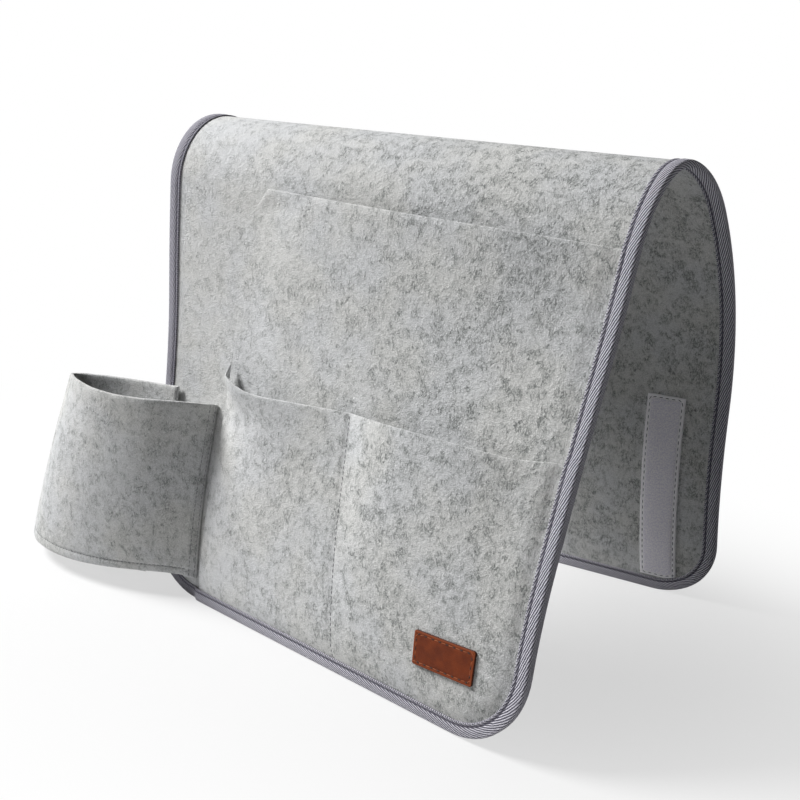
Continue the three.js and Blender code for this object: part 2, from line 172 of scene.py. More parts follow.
right_edge = walk_edge(RIGHT_FOOT, RIGHT_LEANS)
left_edge = walk_edge(LEFT_FOOT, LEFT_LEANS)
print("edges reach up to", round(max(p[1] for p in left_edge), 1), "mm at the left,",
      round(max(p[1] for p in right_edge), 1), "mm at the right")

# %% [markdown]
# ## Writing node trees as Python
# Materials and Geometry Nodes are both built from nodes and wires. They could be added and
# joined one by one, but then a sum takes four lines. One small class wraps a wire so that
# `1 - mask` or `noise * 0.4` adds the Math nodes by itself, and one method adds any other
# node: its settings go first, then the values or wires of its sockets.

# %% A wire that understands arithmetic, and the board that its nodes stand on
class Wire:
    def __init__(self, board, socket):
        self.board = board
        self.socket = socket

    def __add__(self, other):
        return self.board.math("ADD", self, other)

    def __radd__(self, other):
        return self.board.math("ADD", other, self)

    def __sub__(self, other):
        return self.board.math("SUBTRACT", self, other)

    def __rsub__(self, other):
        return self.board.math("SUBTRACT", other, self)

    def __mul__(self, other):
        return self.board.math("MULTIPLY", self, other)

    def __rmul__(self, other):
        return self.board.math("MULTIPLY", other, self)

    def __truediv__(self, other):
        return self.board.math("DIVIDE", self, other)

    def __rtruediv__(self, other):
        return self.board.math("DIVIDE", other, self)


class Board:
    def __init__(self, tree):
        self.tree = tree

    def add(self, kind, settings=None, inputs=None, out=0):
        node = self.tree.nodes.new(kind)
        node.location = (40 * len(self.tree.nodes), -30 * (len(self.tree.nodes) % 9))
        for name, value in (settings or {}).items():
            setattr(node, name, value)
        for key, value in (inputs or {}).items():
            socket = self.find(node.inputs, key)
            if isinstance(value, Wire):
                self.tree.links.new(value.socket, socket)
            else:
                socket.default_value = value
        return Wire(self, self.find(node.outputs, out)) if len(node.outputs) else node

    @staticmethod
    def find(sockets, key):
        if isinstance(key, int):
            return sockets[key]
        named = [s for s in sockets if s.identifier == key] or [
            s for s in sockets if s.name == key and s.enabled
        ]
        return named[0]

    def sibling(self, wire, key):
        """Another output of the node that a wire comes from."""
        return Wire(self, self.find(wire.socket.node.outputs, key))

    def math(self, operation, *values):
        return self.add("ShaderNodeMath", {"operation": operation}, dict(enumerate(values)))

    def read(self, name):
        """A vector that the mesh keeps on its points, as its material reads it."""
        return self.add("ShaderNodeAttribute", {"attribute_name": name}, {}, "Vector")

    def stored(self, name):
        """The same, as a geometry tree reads it."""
        return self.add(
            "GeometryNodeInputNamedAttribute", {"data_type": "FLOAT_VECTOR"}, {"Name": name}
        )

    def store(self, geometry, name, value):
        return self.add(
            "GeometryNodeStoreNamedAttribute",
            {"data_type": "FLOAT_VECTOR", "domain": "POINT"},
            {"Geometry": geometry, "Name": name, "Value": value},
        )

    def first(self, vector):
        """The first of a vector's three numbers; its siblings are Y and Z."""
        return self.add("ShaderNodeSeparateXYZ", {}, {0: vector}, "X")


def between(board, low, high, value):
    """0 below low and 1 above high, eased between them."""
    return board.add(
        "ShaderNodeMapRange",
        {"interpolation_type": "SMOOTHSTEP"},
        {"Value": value, "From Min": low, "From Max": high, "To Min": 0.0, "To Max": 1.0},
    )


def band(board, value, centre, half):
    """1 on a line at centre and 0 farther than half from it."""
    return 1 - between(board, 0.0, half, board.math("ABSOLUTE", value - centre))


def mix_colours(board, share, first, second, how="MIX"):
    return board.add(
        "ShaderNodeMix",
        {"data_type": "RGBA", "blend_type": how},
        {"Factor_Float": share, "A_Color": first, "B_Color": second},
        "Result_Color",
    )


def mix_vectors(board, share, first, second):
    """Between two vectors, or past them where the share is below 0 or above 1."""
    return board.add(
        "ShaderNodeMix",
        {"data_type": "VECTOR", "clamp_factor": False},
        {"Factor_Float": share, "A_Vector": first, "B_Vector": second},
        "Result_Vector",
    )


def screen_colour(red, green, blue):
    """A screen colour from 0 to 255 as the shader's own numbers, with its alpha."""
    def linear(value):
        value /= 255
        return value / 12.92 if value <= 0.04045 else ((value + 0.055) / 1.055) ** 2.4
    return (linear(red), linear(green), linear(blue), 1)


print("node helpers ready; mid grey is", round(screen_colour(188, 188, 188)[0], 3))

# %% [markdown]
# ## The former: one node tree that folds every piece
# A tailor's former is the shape that cloth is pressed over. Here it is a ladder of points,
# one pair for each millimetre of run, with the outward direction stored on each point. A
# Curve modifier could bend the pieces too, but it knows one line only, and this sheet leans
# differently at its two edges. The tree looks up the rung under a flat point, mixes left and
# right, and lifts the point off the felt by its height. Every piece is drawn flat and then
# folded by this same tree, so layers that touch on the flat felt still touch when they are
# folded.

# %% The ladder of points
def make_former():
    points, outs = [], []
    for left, right in zip(left_edge, right_edge):
        for side, edge in ((-1, left), (1, right)):
            points.append((
                (side * HALF_WIDTH + FRAME_SHIFT[0]) * MM,
                (edge[0] + FRAME_SHIFT[1]) * MM,
                edge[1] * MM,
            ))
            outs.append((0.0, edge[2], edge[3]))
    mesh = bpy.data.meshes.new("former")
    mesh.from_pydata(points, [], [])
    attribute = mesh.attributes.new("out", "FLOAT_VECTOR", "POINT")
    attribute.data.foreach_set("vector", [x for out in outs for x in out])
    former = bpy.data.objects.new("former", mesh)
    bpy.context.collection.objects.link(former)
    return former


former = make_former()
print("the former has", len(former.data.vertices), "points")

# %% The folding tree
def new_tree(name, sockets):
    """A node group with named inputs; each one is (name, kind, value)."""
    tree = bpy.data.node_groups.new(name, "GeometryNodeTree")
    tree.interface.new_socket("Geometry", in_out="INPUT", socket_type="NodeSocketGeometry")
    for label, kind, value in sockets:
        socket = tree.interface.new_socket(label, in_out="INPUT", socket_type=kind)
        if value is not None:
            socket.default_value = value
    tree.interface.new_socket("Geometry", in_out="OUTPUT", socket_type="NodeSocketGeometry")
    board = Board(tree)
    entry = board.add("NodeGroupInput")
    return tree, board, lambda label: board.sibling(entry, label)


def make_fold_tree():
    tree, board, given = new_tree("Fold over the former", [
        ("Former", "NodeSocketObject", None),
        ("Width", "NodeSocketFloat", SHEET_WIDTH * MM),
        ("Rung step", "NodeSocketFloat", SHEET_LENGTH / STEPS * MM),
        ("Rungs", "NodeSocketFloat", float(STEPS)),
        ("Seat", "NodeSocketFloat", TAPE_SEAT * MM),
    ])
    ladder = board.add("GeometryNodeObjectInfo", {}, {"Object": given("Former")}, "Geometry")
    spot = board.add("GeometryNodeInputPosition")
    across = board.first(spot)
    run, height = board.sibling(across, "Y"), board.sibling(across, "Z")
    place = board.add("ShaderNodeClamp", {}, {
        "Value": run / given("Rung step"), "Min": 0.0, "Max": given("Rungs"),
    })
    rung = board.math("MINIMUM", board.math("FLOOR", place), given("Rungs") - 1)
    part = place - rung
    side = 0.5 + across / given("Width")

    def look_up(value):
        corners = [
            board.add(
                "GeometryNodeSampleIndex",
                {"data_type": "FLOAT_VECTOR", "domain": "POINT", "clamp": True},
                {"Geometry": ladder, "Value": value, "Index": rung * 2 + k},
            )
            for k in range(4)
        ]
        left = mix_vectors(board, part, corners[0], corners[2])
        right = mix_vectors(board, part, corners[1], corners[3])
        return mix_vectors(board, side, left, right)

    out = look_up(board.stored("out"))
    normal = board.add("ShaderNodeVectorMath", {"operation": "NORMALIZE"}, {0: out})
    lifted = board.add(
        "ShaderNodeVectorMath",
        {"operation": "SCALE"},
        {"Vector": normal, "Scale": height - given("Seat")},
    )
    folded = board.add(
        "ShaderNodeVectorMath", {"operation": "ADD"}, {0: look_up(spot), 1: lifted}
    )
    kept = board.store(given("Geometry"), "pattern", spot)
    moved = board.add("GeometryNodeSetPosition", {}, {"Geometry": kept, "Position": folded})
    board.add("NodeGroupOutput", {}, {"Geometry": moved})
    return tree


fold_tree = make_fold_tree()


def make_piece_tree():
    tree, board, given = new_tree("Fold a cut piece", [
        ("Former", "NodeSocketObject", None),
        ("Finish", "NodeSocketMaterial", None),
    ])
    folded = board.add(
        "GeometryNodeGroup",
        {"node_tree": fold_tree},
        {"Geometry": given("Geometry"), "Former": given("Former")},
    )
    real = board.add("GeometryNodeRealizeInstances", {}, {"Geometry": folded})
    dressed = board.add("GeometryNodeSetMaterial", {}, {
        "Geometry": real, "Material": given("Finish"),
    })
    board.add("NodeGroupOutput", {}, {"Geometry": dressed})
    return tree


piece_tree = make_piece_tree()
print("the folding tree has", len(fold_tree.nodes), "nodes")

# %% [markdown]
# A modifier holds the tree on a flat mesh. Its inputs are set by the socket's identifier
# before the first evaluation, the evaluated result is copied to a plain mesh, and the
# modifier and the flat mesh are dropped, so what stays is ordinary geometry.

# %% Run a tree on a flat mesh and keep the result
def flat_object(name, points, faces, extra=None, edges=()):
    mesh = bpy.data.meshes.new(name + "_flat")
    mesh.from_pydata([tuple(x * MM for x in p) for p in points], list(edges), faces)
    for label, values in (extra or {}).items():
        attribute = mesh.attributes.new(label, "FLOAT_VECTOR", "POINT")
        attribute.data.foreach_set("vector", [x for value in values for x in value])
    mesh.polygons.foreach_set("use_smooth", [True] * len(mesh.polygons))
    flat = bpy.data.objects.new(name + "_flat", mesh)
    bpy.context.collection.objects.link(flat)
    return flat


def run_tree(name, flat, tree, values):
    modifier = flat.modifiers.new("nodes", "NODES")
    modifier.node_group = tree
    for item in tree.interface.items_tree:
        if item.item_type == "SOCKET" and item.in_out == "INPUT" and item.name in values:
            modifier[item.identifier] = values[item.name]
    graph = bpy.context.evaluated_depsgraph_get()
    mesh = bpy.data.meshes.new_from_object(
        flat.evaluated_get(graph), preserve_all_data_layers=True, depsgraph=graph
    )
    mesh.name = name
    drop(flat)
    piece = bpy.data.objects.new(name, mesh)
    bpy.context.collection.objects.link(piece)
    print(name, "has", sum(len(p.vertices) - 2 for p in mesh.polygons), "triangles")
    return piece


def drop(thing):
    mesh = thing.data
    bpy.data.objects.remove(thing)
    bpy.data.meshes.remove(mesh)


def fold_piece(name, points, faces, finish, extra=None):
    flat = flat_object(name, points, faces, extra)
    return run_tree(name, flat, piece_tree, {"Former": former, "Finish": finish})


# %% Join sections of a sheet into one closed body
def facing_out(points, faces):
    """The faces of a closed body, all turned outwards."""
    volume = 0.0
    for face in faces:
        a = Vector(points[face[0]])
        for k in range(1, len(face) - 1):
            volume += a.dot(Vector(points[face[k]]).cross(Vector(points[face[k + 1]])))
    return [face[::-1] for face in faces] if volume < 0 else faces


def loft(sections):
    """Each section is an outer and an inner line of as many points."""
    count = len(sections[0][0])
    ring = 2 * count
    points = [p for outer, inner in sections for p in (*outer, *reversed(inner))]
    faces = []
    for i in range(len(sections) - 1):
        for k in range(ring):
            a, b = i * ring + k, i * ring + (k + 1) % ring
            faces.append((a, b, b + ring, a + ring))
    for i, turn in ((0, True), (len(sections) - 1, False)):
        for k in range(count - 1):
            a, b = i * ring + k, i * ring + ring - 1 - k
            quad = (a, a + 1, b - 1, b)
            faces.append(quad[::-1] if turn else quad)
    return points, facing_out(points, faces)


def steps_between(first, last, step):
    count = max(1, math.ceil(abs(last - first) / step - 1e-9))
    return [mix(first, last, i / count) for i in range(count + 1)]


def edged_steps(edge, long, step):
    """Steps along a plate whose two ends have the same closer steps."""
    middle = steps_between(edge[-1], long - edge[-1], step)[1:-1]
    return edge + middle + [long - x for x in reversed(edge)]


CUT_ROUND = 0.75
CUT_HIGHLIGHT_REACH = 1.5
EDGE_STEPS = [0, 0.06, 0.3, 1]
CORNER_STEPS = 16


def drawn_in(distance, radius):
    """How far a face is drawn in by the round of a cut edge, at a distance from the edge."""
    rest = 1 - clamp(distance / radius)
    return radius * (1 - math.sqrt(max(0.0, 1 - rest * rest)))


def near_edge(distance):
    """1 on a cut edge, fading to 0 on the face beside it, as a stored vector: where the felt
    paints a highlight.
    """
    return (1 - clamp(distance / CUT_HIGHLIGHT_REACH), 0.0, 0.0)


def edge_half_width(from_foot, radius):
    """Half the sheet's width, less the inset under the tape, at a distance from a foot."""
    reach = radius - EDGE_INSET
    rise = max(0.0, radius - from_foot)
    return HALF_WIDTH - radius + math.sqrt(max(0.0, reach * reach - rise * rise))


def foot_rows(radius, limit, step):
    """Rows from the foot of a leg with round corners up to a limit."""
    angles = [i / CORNER_STEPS * math.pi / 2 for i in range(CORNER_STEPS)]
    turns = [radius - (radius - EDGE_INSET) * math.cos(angle) for angle in angles]
    return turns + steps_between(radius, limit, step)


print("a row of the front corner starts at", round(foot_rows(FRONT_CORNER, 100, 4)[0], 2), "mm")

# %% [markdown]
# ## Camera, floor and light
# The photograph was taken from the front right and a little above, with a longish lens. The
# object stands on a white floor. A bright sky would light it evenly, but then nothing would
# turn away into shade. So one lamp stands at the left: the front leg is bright, the sleeve
# turns away into shade, and the inside of the rear leg is lit by the white floor alone.

# %% Camera
AZIMUTH, ELEVATION = math.radians(37.69), math.radians(20.46)
CAMERA_PLACE = (0.5146, -0.5975, 0.3663)
camera_data = bpy.data.cameras.new("camera")
camera_data.lens = 55.45
camera_data.sensor_width = 36
camera_data.shift_y = 0.1
camera = bpy.data.objects.new("camera", camera_data)
bpy.context.collection.objects.link(camera)
back = Vector((
    math.sin(AZIMUTH) * math.cos(ELEVATION),
    -math.cos(AZIMUTH) * math.cos(ELEVATION),
    math.sin(ELEVATION),
))
camera.location = CAMERA_PLACE
camera.rotation_euler = (-back).to_track_quat("-Z", "Y").to_euler()
bpy.context.scene.camera = camera
bpy.context.scene.view_settings.view_transform = "Standard"
print("camera at", CAMERA_PLACE)

# %% Floor
FLOOR_REACH = 8
FLOOR_GREY = 0.74
NEAR_GLOW = 0.62
GLOW_FROM, GLOW_FULL = 0.1, 0.34


def make_floor():
    """A matt floor that the camera sees as nearly white, most of all away from the object."""
    mesh = bpy.data.meshes.new("floor")
    ways = ((-1, -1), (1, -1), (1, 1), (-1, 1))
    corners = [(x * FLOOR_REACH, y * FLOOR_REACH, 0) for x, y in ways]
    mesh.from_pydata(corners, [], [(0, 1, 2, 3)])
    floor = bpy.data.objects.new("floor", mesh)
    bpy.context.collection.objects.link(floor)
    paint = bpy.data.materials.new("white floor")
    paint.use_nodes = True
    paint.node_tree.nodes.clear()
    board = Board(paint.node_tree)
    where = board.add("ShaderNodeTexCoord", {}, {}, "Object")
    oval = board.add("ShaderNodeMapping", {"vector_type": "POINT"}, {
        "Vector": where, "Rotation": (0.0, 0.0, math.radians(4)), "Scale": (0.52, 1.0, 1.0),
    })
    far = board.add("ShaderNodeVectorMath", {"operation": "LENGTH"}, {0: oval}, "Value")
    seen = board.add("ShaderNodeLightPath", {}, {}, "Is Camera Ray")
    matt = board.add("ShaderNodeBsdfDiffuse", {}, {
        "Color": (FLOOR_GREY, FLOOR_GREY, FLOOR_GREY, 1),
    })
    glow = board.add("ShaderNodeEmission", {}, {"Color": (1, 1, 1, 1), "Strength": 1.0})
    share = seen * (NEAR_GLOW + (1 - NEAR_GLOW) * between(board, GLOW_FROM, GLOW_FULL, far))
    both = board.add("ShaderNodeMixShader", {}, {0: share, 1: matt, 2: glow})
    board.add("ShaderNodeOutputMaterial", {}, {"Surface": both})
    mesh.materials.append(paint)


make_floor()
print("the floor is grey", FLOOR_GREY, "and reaches", FLOOR_REACH, "m each way")

# %% Sky and lamp
SKY = 0.02


def make_sky():
    """White where the camera, a gloss or a clear surface sees it, and very faint as light."""
    world = bpy.data.worlds.new("white sky")
    bpy.context.scene.world = world
    world.use_nodes = True
    world.node_tree.nodes.clear()
    board = Board(world.node_tree)
    seen = board.add("ShaderNodeLightPath", {}, {}, "Is Camera Ray")
    shown = board.math("MAXIMUM", seen, board.sibling(seen, "Is Glossy Ray"))
    shown = board.math("MAXIMUM", shown, board.sibling(seen, "Is Transmission Ray"))
    strength = SKY + (1 - SKY) * shown
    sky = board.add("ShaderNodeBackground", {}, {"Color": (1, 1, 1, 1), "Strength": strength})
    board.add("ShaderNodeOutputWorld", {}, {"Surface": sky})


def make_lamp(name, place, aim, size, power):
    lamp = bpy.data.lights.new(name, "AREA")
    lamp.shape = "DISK"
    lamp.size = size
    lamp.energy = power
    thing = bpy.data.objects.new(name, lamp)
    bpy.context.collection.objects.link(thing)
    thing.location = place
    thing.rotation_euler = (Vector(aim) - Vector(place)).to_track_quat("-Z", "Y").to_euler()


make_sky()
make_lamp("side lamp", place=(-1.262, -0.46, 1.463), aim=(0.0, 0.0, 0.15), size=0.8, power=57)
print("the sky is at", SKY)

# %% [markdown]
# ## Felt
# Pressed felt is a mat of short fibres, light and dark mixed before pressing. From a step
# away it shows three sizes at once: pale and dark clouds as wide as a thumb, clusters of dark
# flecks, and a fine grain of fibres lying at all angles. Real hairs would be far too many, so
# each size is a noise of its own, and the longest fibres are thin lines. The pattern is read
# from the flat cut piece, so it bends with the felt and keeps its place in every pose.

# %% Felt material
CLOUDS, CLUSTERS, FLECKS, GRAIN = 30, 150, 500, 1500
MOST_CRISP = 1.22
FIBRES = ((20, 300, 0.11), (-47, 380, 0.37), (78, 460, 0.71))


def start_material(name):
    material = bpy.data.materials.new(name)
    material.use_nodes = True
    material.node_tree.nodes.clear()
    return material, Board(material.node_tree)


def finish_material(board, colour, roughness, height, depth, strength, settled=None):
    """The shader that every piece ends in, with a bump of a depth in metres."""
    bump = board.add("ShaderNodeBump", {}, {
        "Strength": strength, "Distance": depth, "Height": height,
    })
    values = {"Base Color": colour, "Roughness": roughness, "Normal": bump, **(settled or {})}
    shader = board.add("ShaderNodeBsdfPrincipled", {}, values)
    board.add("ShaderNodeOutputMaterial", {}, {"Surface": shader})


def noise(board, where, scale, detail=2.0, roughness=0.5, distortion=0.0):
    return board.add("ShaderNodeTexNoise", {}, {
        "Vector": where, "Scale": scale, "Detail": detail, "Roughness": roughness,
        "Distortion": distortion,
    })


def fibre_lines(board, where, turn, scale, shift):
    """Thin curly lines: the places where a turned and stretched noise passes its middle."""
    stretched = board.add("ShaderNodeMapping", {"vector_type": "POINT"}, {
        "Vector": where,
        "Location": (shift, shift, 0.0),
        "Rotation": (0.0, 0.0, math.radians(turn)),
        "Scale": (1.0, 0.5, 1.0),
    })
    return band(board, noise(board, stretched, scale, 2, 0.6, 0.8), 0.5, 0.05)


def make_felt(name, felt_tone, least_crisp):
    """Pressed felt; its flecks are crisper towards the right-hand edge of the sheet."""
    material, board = start_material(name)
    where = board.read("pattern")
    edge_highlight = board.first(board.read("rim"))
    side = board.first(where)
    crisp = least_crisp + (MOST_CRISP - least_crisp) * between(board, -0.17, 0.12, side)
    clouds = noise(board, where, CLOUDS, 3, 0.6)
    clusters = noise(board, where, CLUSTERS, 3, 0.6, 0.5)
    flecks = noise(board, where, FLECKS, 3, 0.65, 0.5)
    grain = noise(board, where, GRAIN, 2, 0.65, 0.3)
    lines = [fibre_lines(board, where, turn, scale, shift) for turn, scale, shift in FIBRES]
    gathered = between(board, 0.40, 0.64, clusters * 0.75 + clouds * 0.25)
    fibres = (lines[0] + lines[1] + lines[2]) * (0.12 + 0.88 * gathered)
    mottle = flecks * 0.58 + clusters * 0.22 + grain * 0.12 + clouds * 0.08
    dark = between(board, 0.44, 0.68, mottle)
    speckle = (flecks - 0.5) * 0.26 + (grain - 0.5) * 0.66
    tone = felt_tone + (clouds - 0.5) * 0.06 + speckle * crisp
    light = board.add("ShaderNodeCombineColor", {}, {0: tone, 1: tone, 2: tone})
    tint = between(board, 0.38, 0.62, noise(board, where, 20, 2, 0.5))
    tinted = mix_colours(board, tint, (1.0, 1.0, 0.978, 1), (0.985, 0.998, 1.012, 1))
    light = mix_colours(board, 1.0, light, tinted, "MULTIPLY")
    fleck = mix_colours(board, clouds, (0.15, 0.172, 0.155, 1), (0.20, 0.205, 0.205, 1))
    share = board.math("MINIMUM", (dark * 0.38 + fibres * 0.48) * crisp, 0.9)
    colour = mix_colours(board, share, light, fleck)
    # The cut edge is painted paler: a painted highlight where the edge catches the lamp.
    colour = mix_colours(board, edge_highlight * 0.2, colour, (0.72, 0.72, 0.72, 1))
    height = flecks * 0.8 + clusters * 0.7 + grain * 0.5 - fibres * 0.15
    finish_material(board, colour, 0.96, height, depth=0.0012, strength=0.7,
                    settled={"Sheen Weight": 0.12, "Sheen Roughness": 0.6})
    return material


felt = make_felt("grey pressed felt", felt_tone=0.675, least_crisp=0.54)
# The sleeve and its base get the same felt painted darker: painted shade where the sleeve turns
# away from the lamp.
shaded_sleeve_felt = make_felt("grey pressed felt with painted shade", felt_tone=0.585, least_crisp=0.88)
print("felt ready")

# %% [markdown]
# ## The folded sheet
# The body of the caddy is a single piece of felt. It could be two flat legs and a bent top,
# but seams would show where the real one has none, so it is drawn as one flat plate with
# rounded corners and folded by the tree.

# %% Felt sheet
FOLD_RUN = 330
FELT_COLUMNS = 82


def make_felt_sheet():
    front = foot_rows(FRONT_CORNER, FOLD_RUN, 4)
    rear = foot_rows(REAR_CORNER, SHEET_LENGTH - FOLD_RUN, 4)
    halves = [(row, edge_half_width(row, FRONT_CORNER)) for row in front]
    halves += [(SHEET_LENGTH - row, edge_half_width(row, REAR_CORNER)) for row in rear[-2::-1]]
    shares = [2 * i / FELT_COLUMNS - 1 for i in range(FELT_COLUMNS + 1)]
    sections = []
    for run, half in halves:
        sections.append((
            [(share * half, run, 0.0) for share in shares],
            [(share * half, run, -FELT) for share in shares],
        ))
    return fold_piece("felt_sheet", *loft(sections), felt)


felt_sheet = make_felt_sheet()

# %% [markdown]
# ## The pocket sheets
# Two more pieces of felt lie on the front leg. Their outer and lower edges are caught under
# the binding, where the felt is pressed thin, and their mouths stand open a little. Each
# could be a plane with a Solidify modifier, but that gives one thickness and square edges. So
# each is joined from rows, an outer and an inner line at a time. A cut felt edge is never
# sharp: the rows next to it draw both faces in on a small round.

# %% What the two pocket sheets share
PRESS_SLOPE, SMALL_PRESS_SLOPE = 9, 3
MAGAZINE_LEFT = (59, 68)
MAGAZINE_CORNER_WIDE, MAGAZINE_CORNER_TALL = 16, 21
SMALL_LEFT = (53, 66.5)
DIVIDER = (23, 8)
SEWN_SHARE, SEAT_SHARE = 0.06, 0.4
RIM_KEPT = 15


def edge_distance(across, run):
    over_side = abs(across) - (HALF_WIDTH - FRONT_CORNER)
    over_foot = FRONT_CORNER - run
    if over_side > 0 and over_foot > 0:
        return FRONT_CORNER - math.hypot(over_side, over_foot)
    return min(HALF_WIDTH - abs(across), run)


def pocket_thickness(across, run, slope=PRESS_SLOPE):
    """A pocket sheet keeps its thickness up to the tape, which presses it thin."""
    clear = edge_distance(across, run) - FLANGE - 2 * slope / PRESS_SLOPE
    return mix(PRESSED_FELT, POCKET_FELT, ease(clear / slope))


def open_edge(edge):
    """Where a mouth stops standing open, short of the tape."""
    return edge + EDGE_INSET - FLANGE - PRESS_SLOPE


def magazine_left(run):
    line = -HALF_WIDTH + mix(*MAGAZINE_LEFT, run / MAGAZINE_RIM)
    corner = (run - MAGAZINE_RIM + MAGAZINE_CORNER_TALL) / MAGAZINE_CORNER_TALL
    return line + MAGAZINE_CORNER_WIDE * clamp(corner)


def small_left(run):
    return -HALF_WIDTH + mix(*SMALL_LEFT, run / SMALL_RIM)


def divider_at(run):
    return mix(*DIVIDER, run / SMALL_RIM)


def rim_rows(rim, step):
    """Rows from the foot to a cut rim, closer together on its round edge."""
    rows = [row for row in foot_rows(FRONT_CORNER, rim, step) if row < rim - CUT_ROUND - 0.8]
    return rows + [rim - CUT_ROUND * part for part in reversed(EDGE_STEPS)]


def pressed_side(across, left, below_rim, wide):
    """How much of its thickness a sewn side edge keeps: pressed thin, but full near the rim."""
    inwards = mix(SEWN_SHARE, 1.0, ease((across - left) / wide))
    return max(inwards, ease(1 - below_rim / RIM_KEPT))


print("the left edges start", round(magazine_left(0), 1), "and", small_left(0), "mm across")

# %% Magazine pocket
MAGAZINE_SPANS = [0, 0.06, 0.14, 0.24, 0.36, 0.5, 0.64, 0.76, 0.86, 0.94, 1]
MAGAZINE_BULGES = [0, 0.03, 0.2, 0.52, 0.84, 1, 0.97, 0.8, 0.46, 0.14, 0]
MAGAZINE_STAND = 4.5
MAGAZINE_MOUTH = 150
MAGAZINE_TILT = 3.5
MAGAZINE_DIP = 1.0
MAGAZINE_PRESSED = 45


def magazine_top(across, run):
    return GAP + pocket_thickness(across, run)


def make_magazine_pocket():
    sections, rims = [], []
    for row in rim_rows(MAGAZINE_RIM, 4):
        edge = edge_half_width(row, FRONT_CORNER)
        left = magazine_left(row)
        opening = ease((row - MAGAZINE_MOUTH) / (MAGAZINE_RIM - MAGAZINE_MOUTH))
        columns = [left + CUT_ROUND * part for part in EDGE_STEPS]
        columns += [mix(columns[-1], edge, i / 72) for i in range(1, 73)]
        outer, inner = [], []
        for across in columns:
            tilt = 0.5 - (across - left) / (edge - left)
            share = clamp((across - left) / (open_edge(edge) - left))
            dip = MAGAZINE_DIP * opening * math.sin(math.pi * share)
            run = row + MAGAZINE_TILT * tilt * row / MAGAZINE_RIM - dip
            bulge = MAGAZINE_STAND * opening * read_table(MAGAZINE_SPANS, MAGAZINE_BULGES, share)
            kept = pressed_side(across, left, MAGAZINE_RIM - row, MAGAZINE_PRESSED)
            seat = GAP * max(SEAT_SHARE, kept) + bulge
            thick = (magazine_top(across, row) - GAP) * kept
            cut = drawn_in(min(MAGAZINE_RIM - row, across - left), CUT_ROUND)
            cut *= thick / POCKET_FELT
            outer.append((across, run, seat + thick - cut))
            inner.append((across, run, seat + cut))
        edges = [near_edge(MAGAZINE_RIM - row)] * len(columns)
        rims += edges * 2
        sections.append((outer, inner))
    return fold_piece("magazine_pocket_felt", *loft(sections), felt, {"rim": rims})


magazine_pocket = make_magazine_pocket()

# %% Small pockets
LEFT_SPANS = [0, 0.035, 0.09, 0.165, 0.22, 0.333, 0.446, 0.67, 0.85, 1]
MOUTH_BULGES = [0, 0.6, 0.9, 1, 0.98, 0.89, 0.76, 0.42, 0.16, 0]
LEFT_BULGES = [0, 0.03, 0.12, 0.32, 0.48, 0.7, 0.72, 0.42, 0.16, 0]
LEFT_STAND, RIGHT_STAND = 12, 9
RIM_SPANS = [0, 0.025, 0.06, 0.095, 0.18, 0.25, 0.35, 0.455, 0.67, 1]
RIM_RISES = [9, 4.5, 2.5, 1.7, -1.3, -3.1, -3.7, -3.4, -2.1, 0]
RIGHT_SPANS = [0, 0.05, 0.12, 0.22, 0.34, 0.46, 0.58, 0.7, 0.8, 0.9, 1]
RIGHT_BULGES = [0, 0.14, 0.5, 0.85, 1, 0.97, 0.86, 0.66, 0.44, 0.2, 0.05]
SMALL_MOUTH = 18
STEEP_BELOW_RIM = 24
TAPE_FADE = 6
EDGE_RISE_WIDE = 45
SMALL_PRESSED = 16
DIVIDER_PINCH, DIVIDER_PINCH_WIDE = 0.55, 1.3


def small_bulge(across, run):
    opening = clamp((run - SMALL_MOUTH) / (SMALL_RIM - SMALL_MOUTH))
    left, divider = small_left(run), divider_at(run)
    edge = open_edge(edge_half_width(run, FRONT_CORNER))
    if across < divider:
        share = (across - left) / (divider - left)
        steep = ease(1 - (SMALL_RIM - run) / STEEP_BELOW_RIM)
        gentle_bulge = read_table(LEFT_SPANS, LEFT_BULGES, share)
        steep_bulge = read_table(LEFT_SPANS, MOUTH_BULGES, share)
        return LEFT_STAND * opening ** 2 * mix(gentle_bulge, steep_bulge, steep)
    share = (across - divider) / (edge - divider)
    if share > 1:
        fade = ease((edge + TAPE_FADE - across) / TAPE_FADE)
        return RIGHT_STAND * opening * RIGHT_BULGES[-1] * fade
    return RIGHT_STAND * opening * read_table(RIGHT_SPANS, RIGHT_BULGES, share)


def small_seat(across, run):
    return magazine_top(across, run) + GAP + small_bulge(across, run)


def small_top(across, run):
    return small_seat(across, run) + pocket_thickness(across, run, SMALL_PRESS_SLOPE)


def small_run(across, row):
    """Where a row of the small pockets lies, as it follows their wavy rim."""
    left, edge = small_left(row), edge_half_width(row, FRONT_CORNER)
    rise = read_table(RIM_SPANS, RIM_RISES, (across - left) / (divider_at(row) - left))
    bound = SMALL_EDGE_RISE * ease(1 - (edge - across) / EDGE_RISE_WIDE)
    return row + rise * (row / SMALL_RIM) ** 3 + bound * row / SMALL_RIM


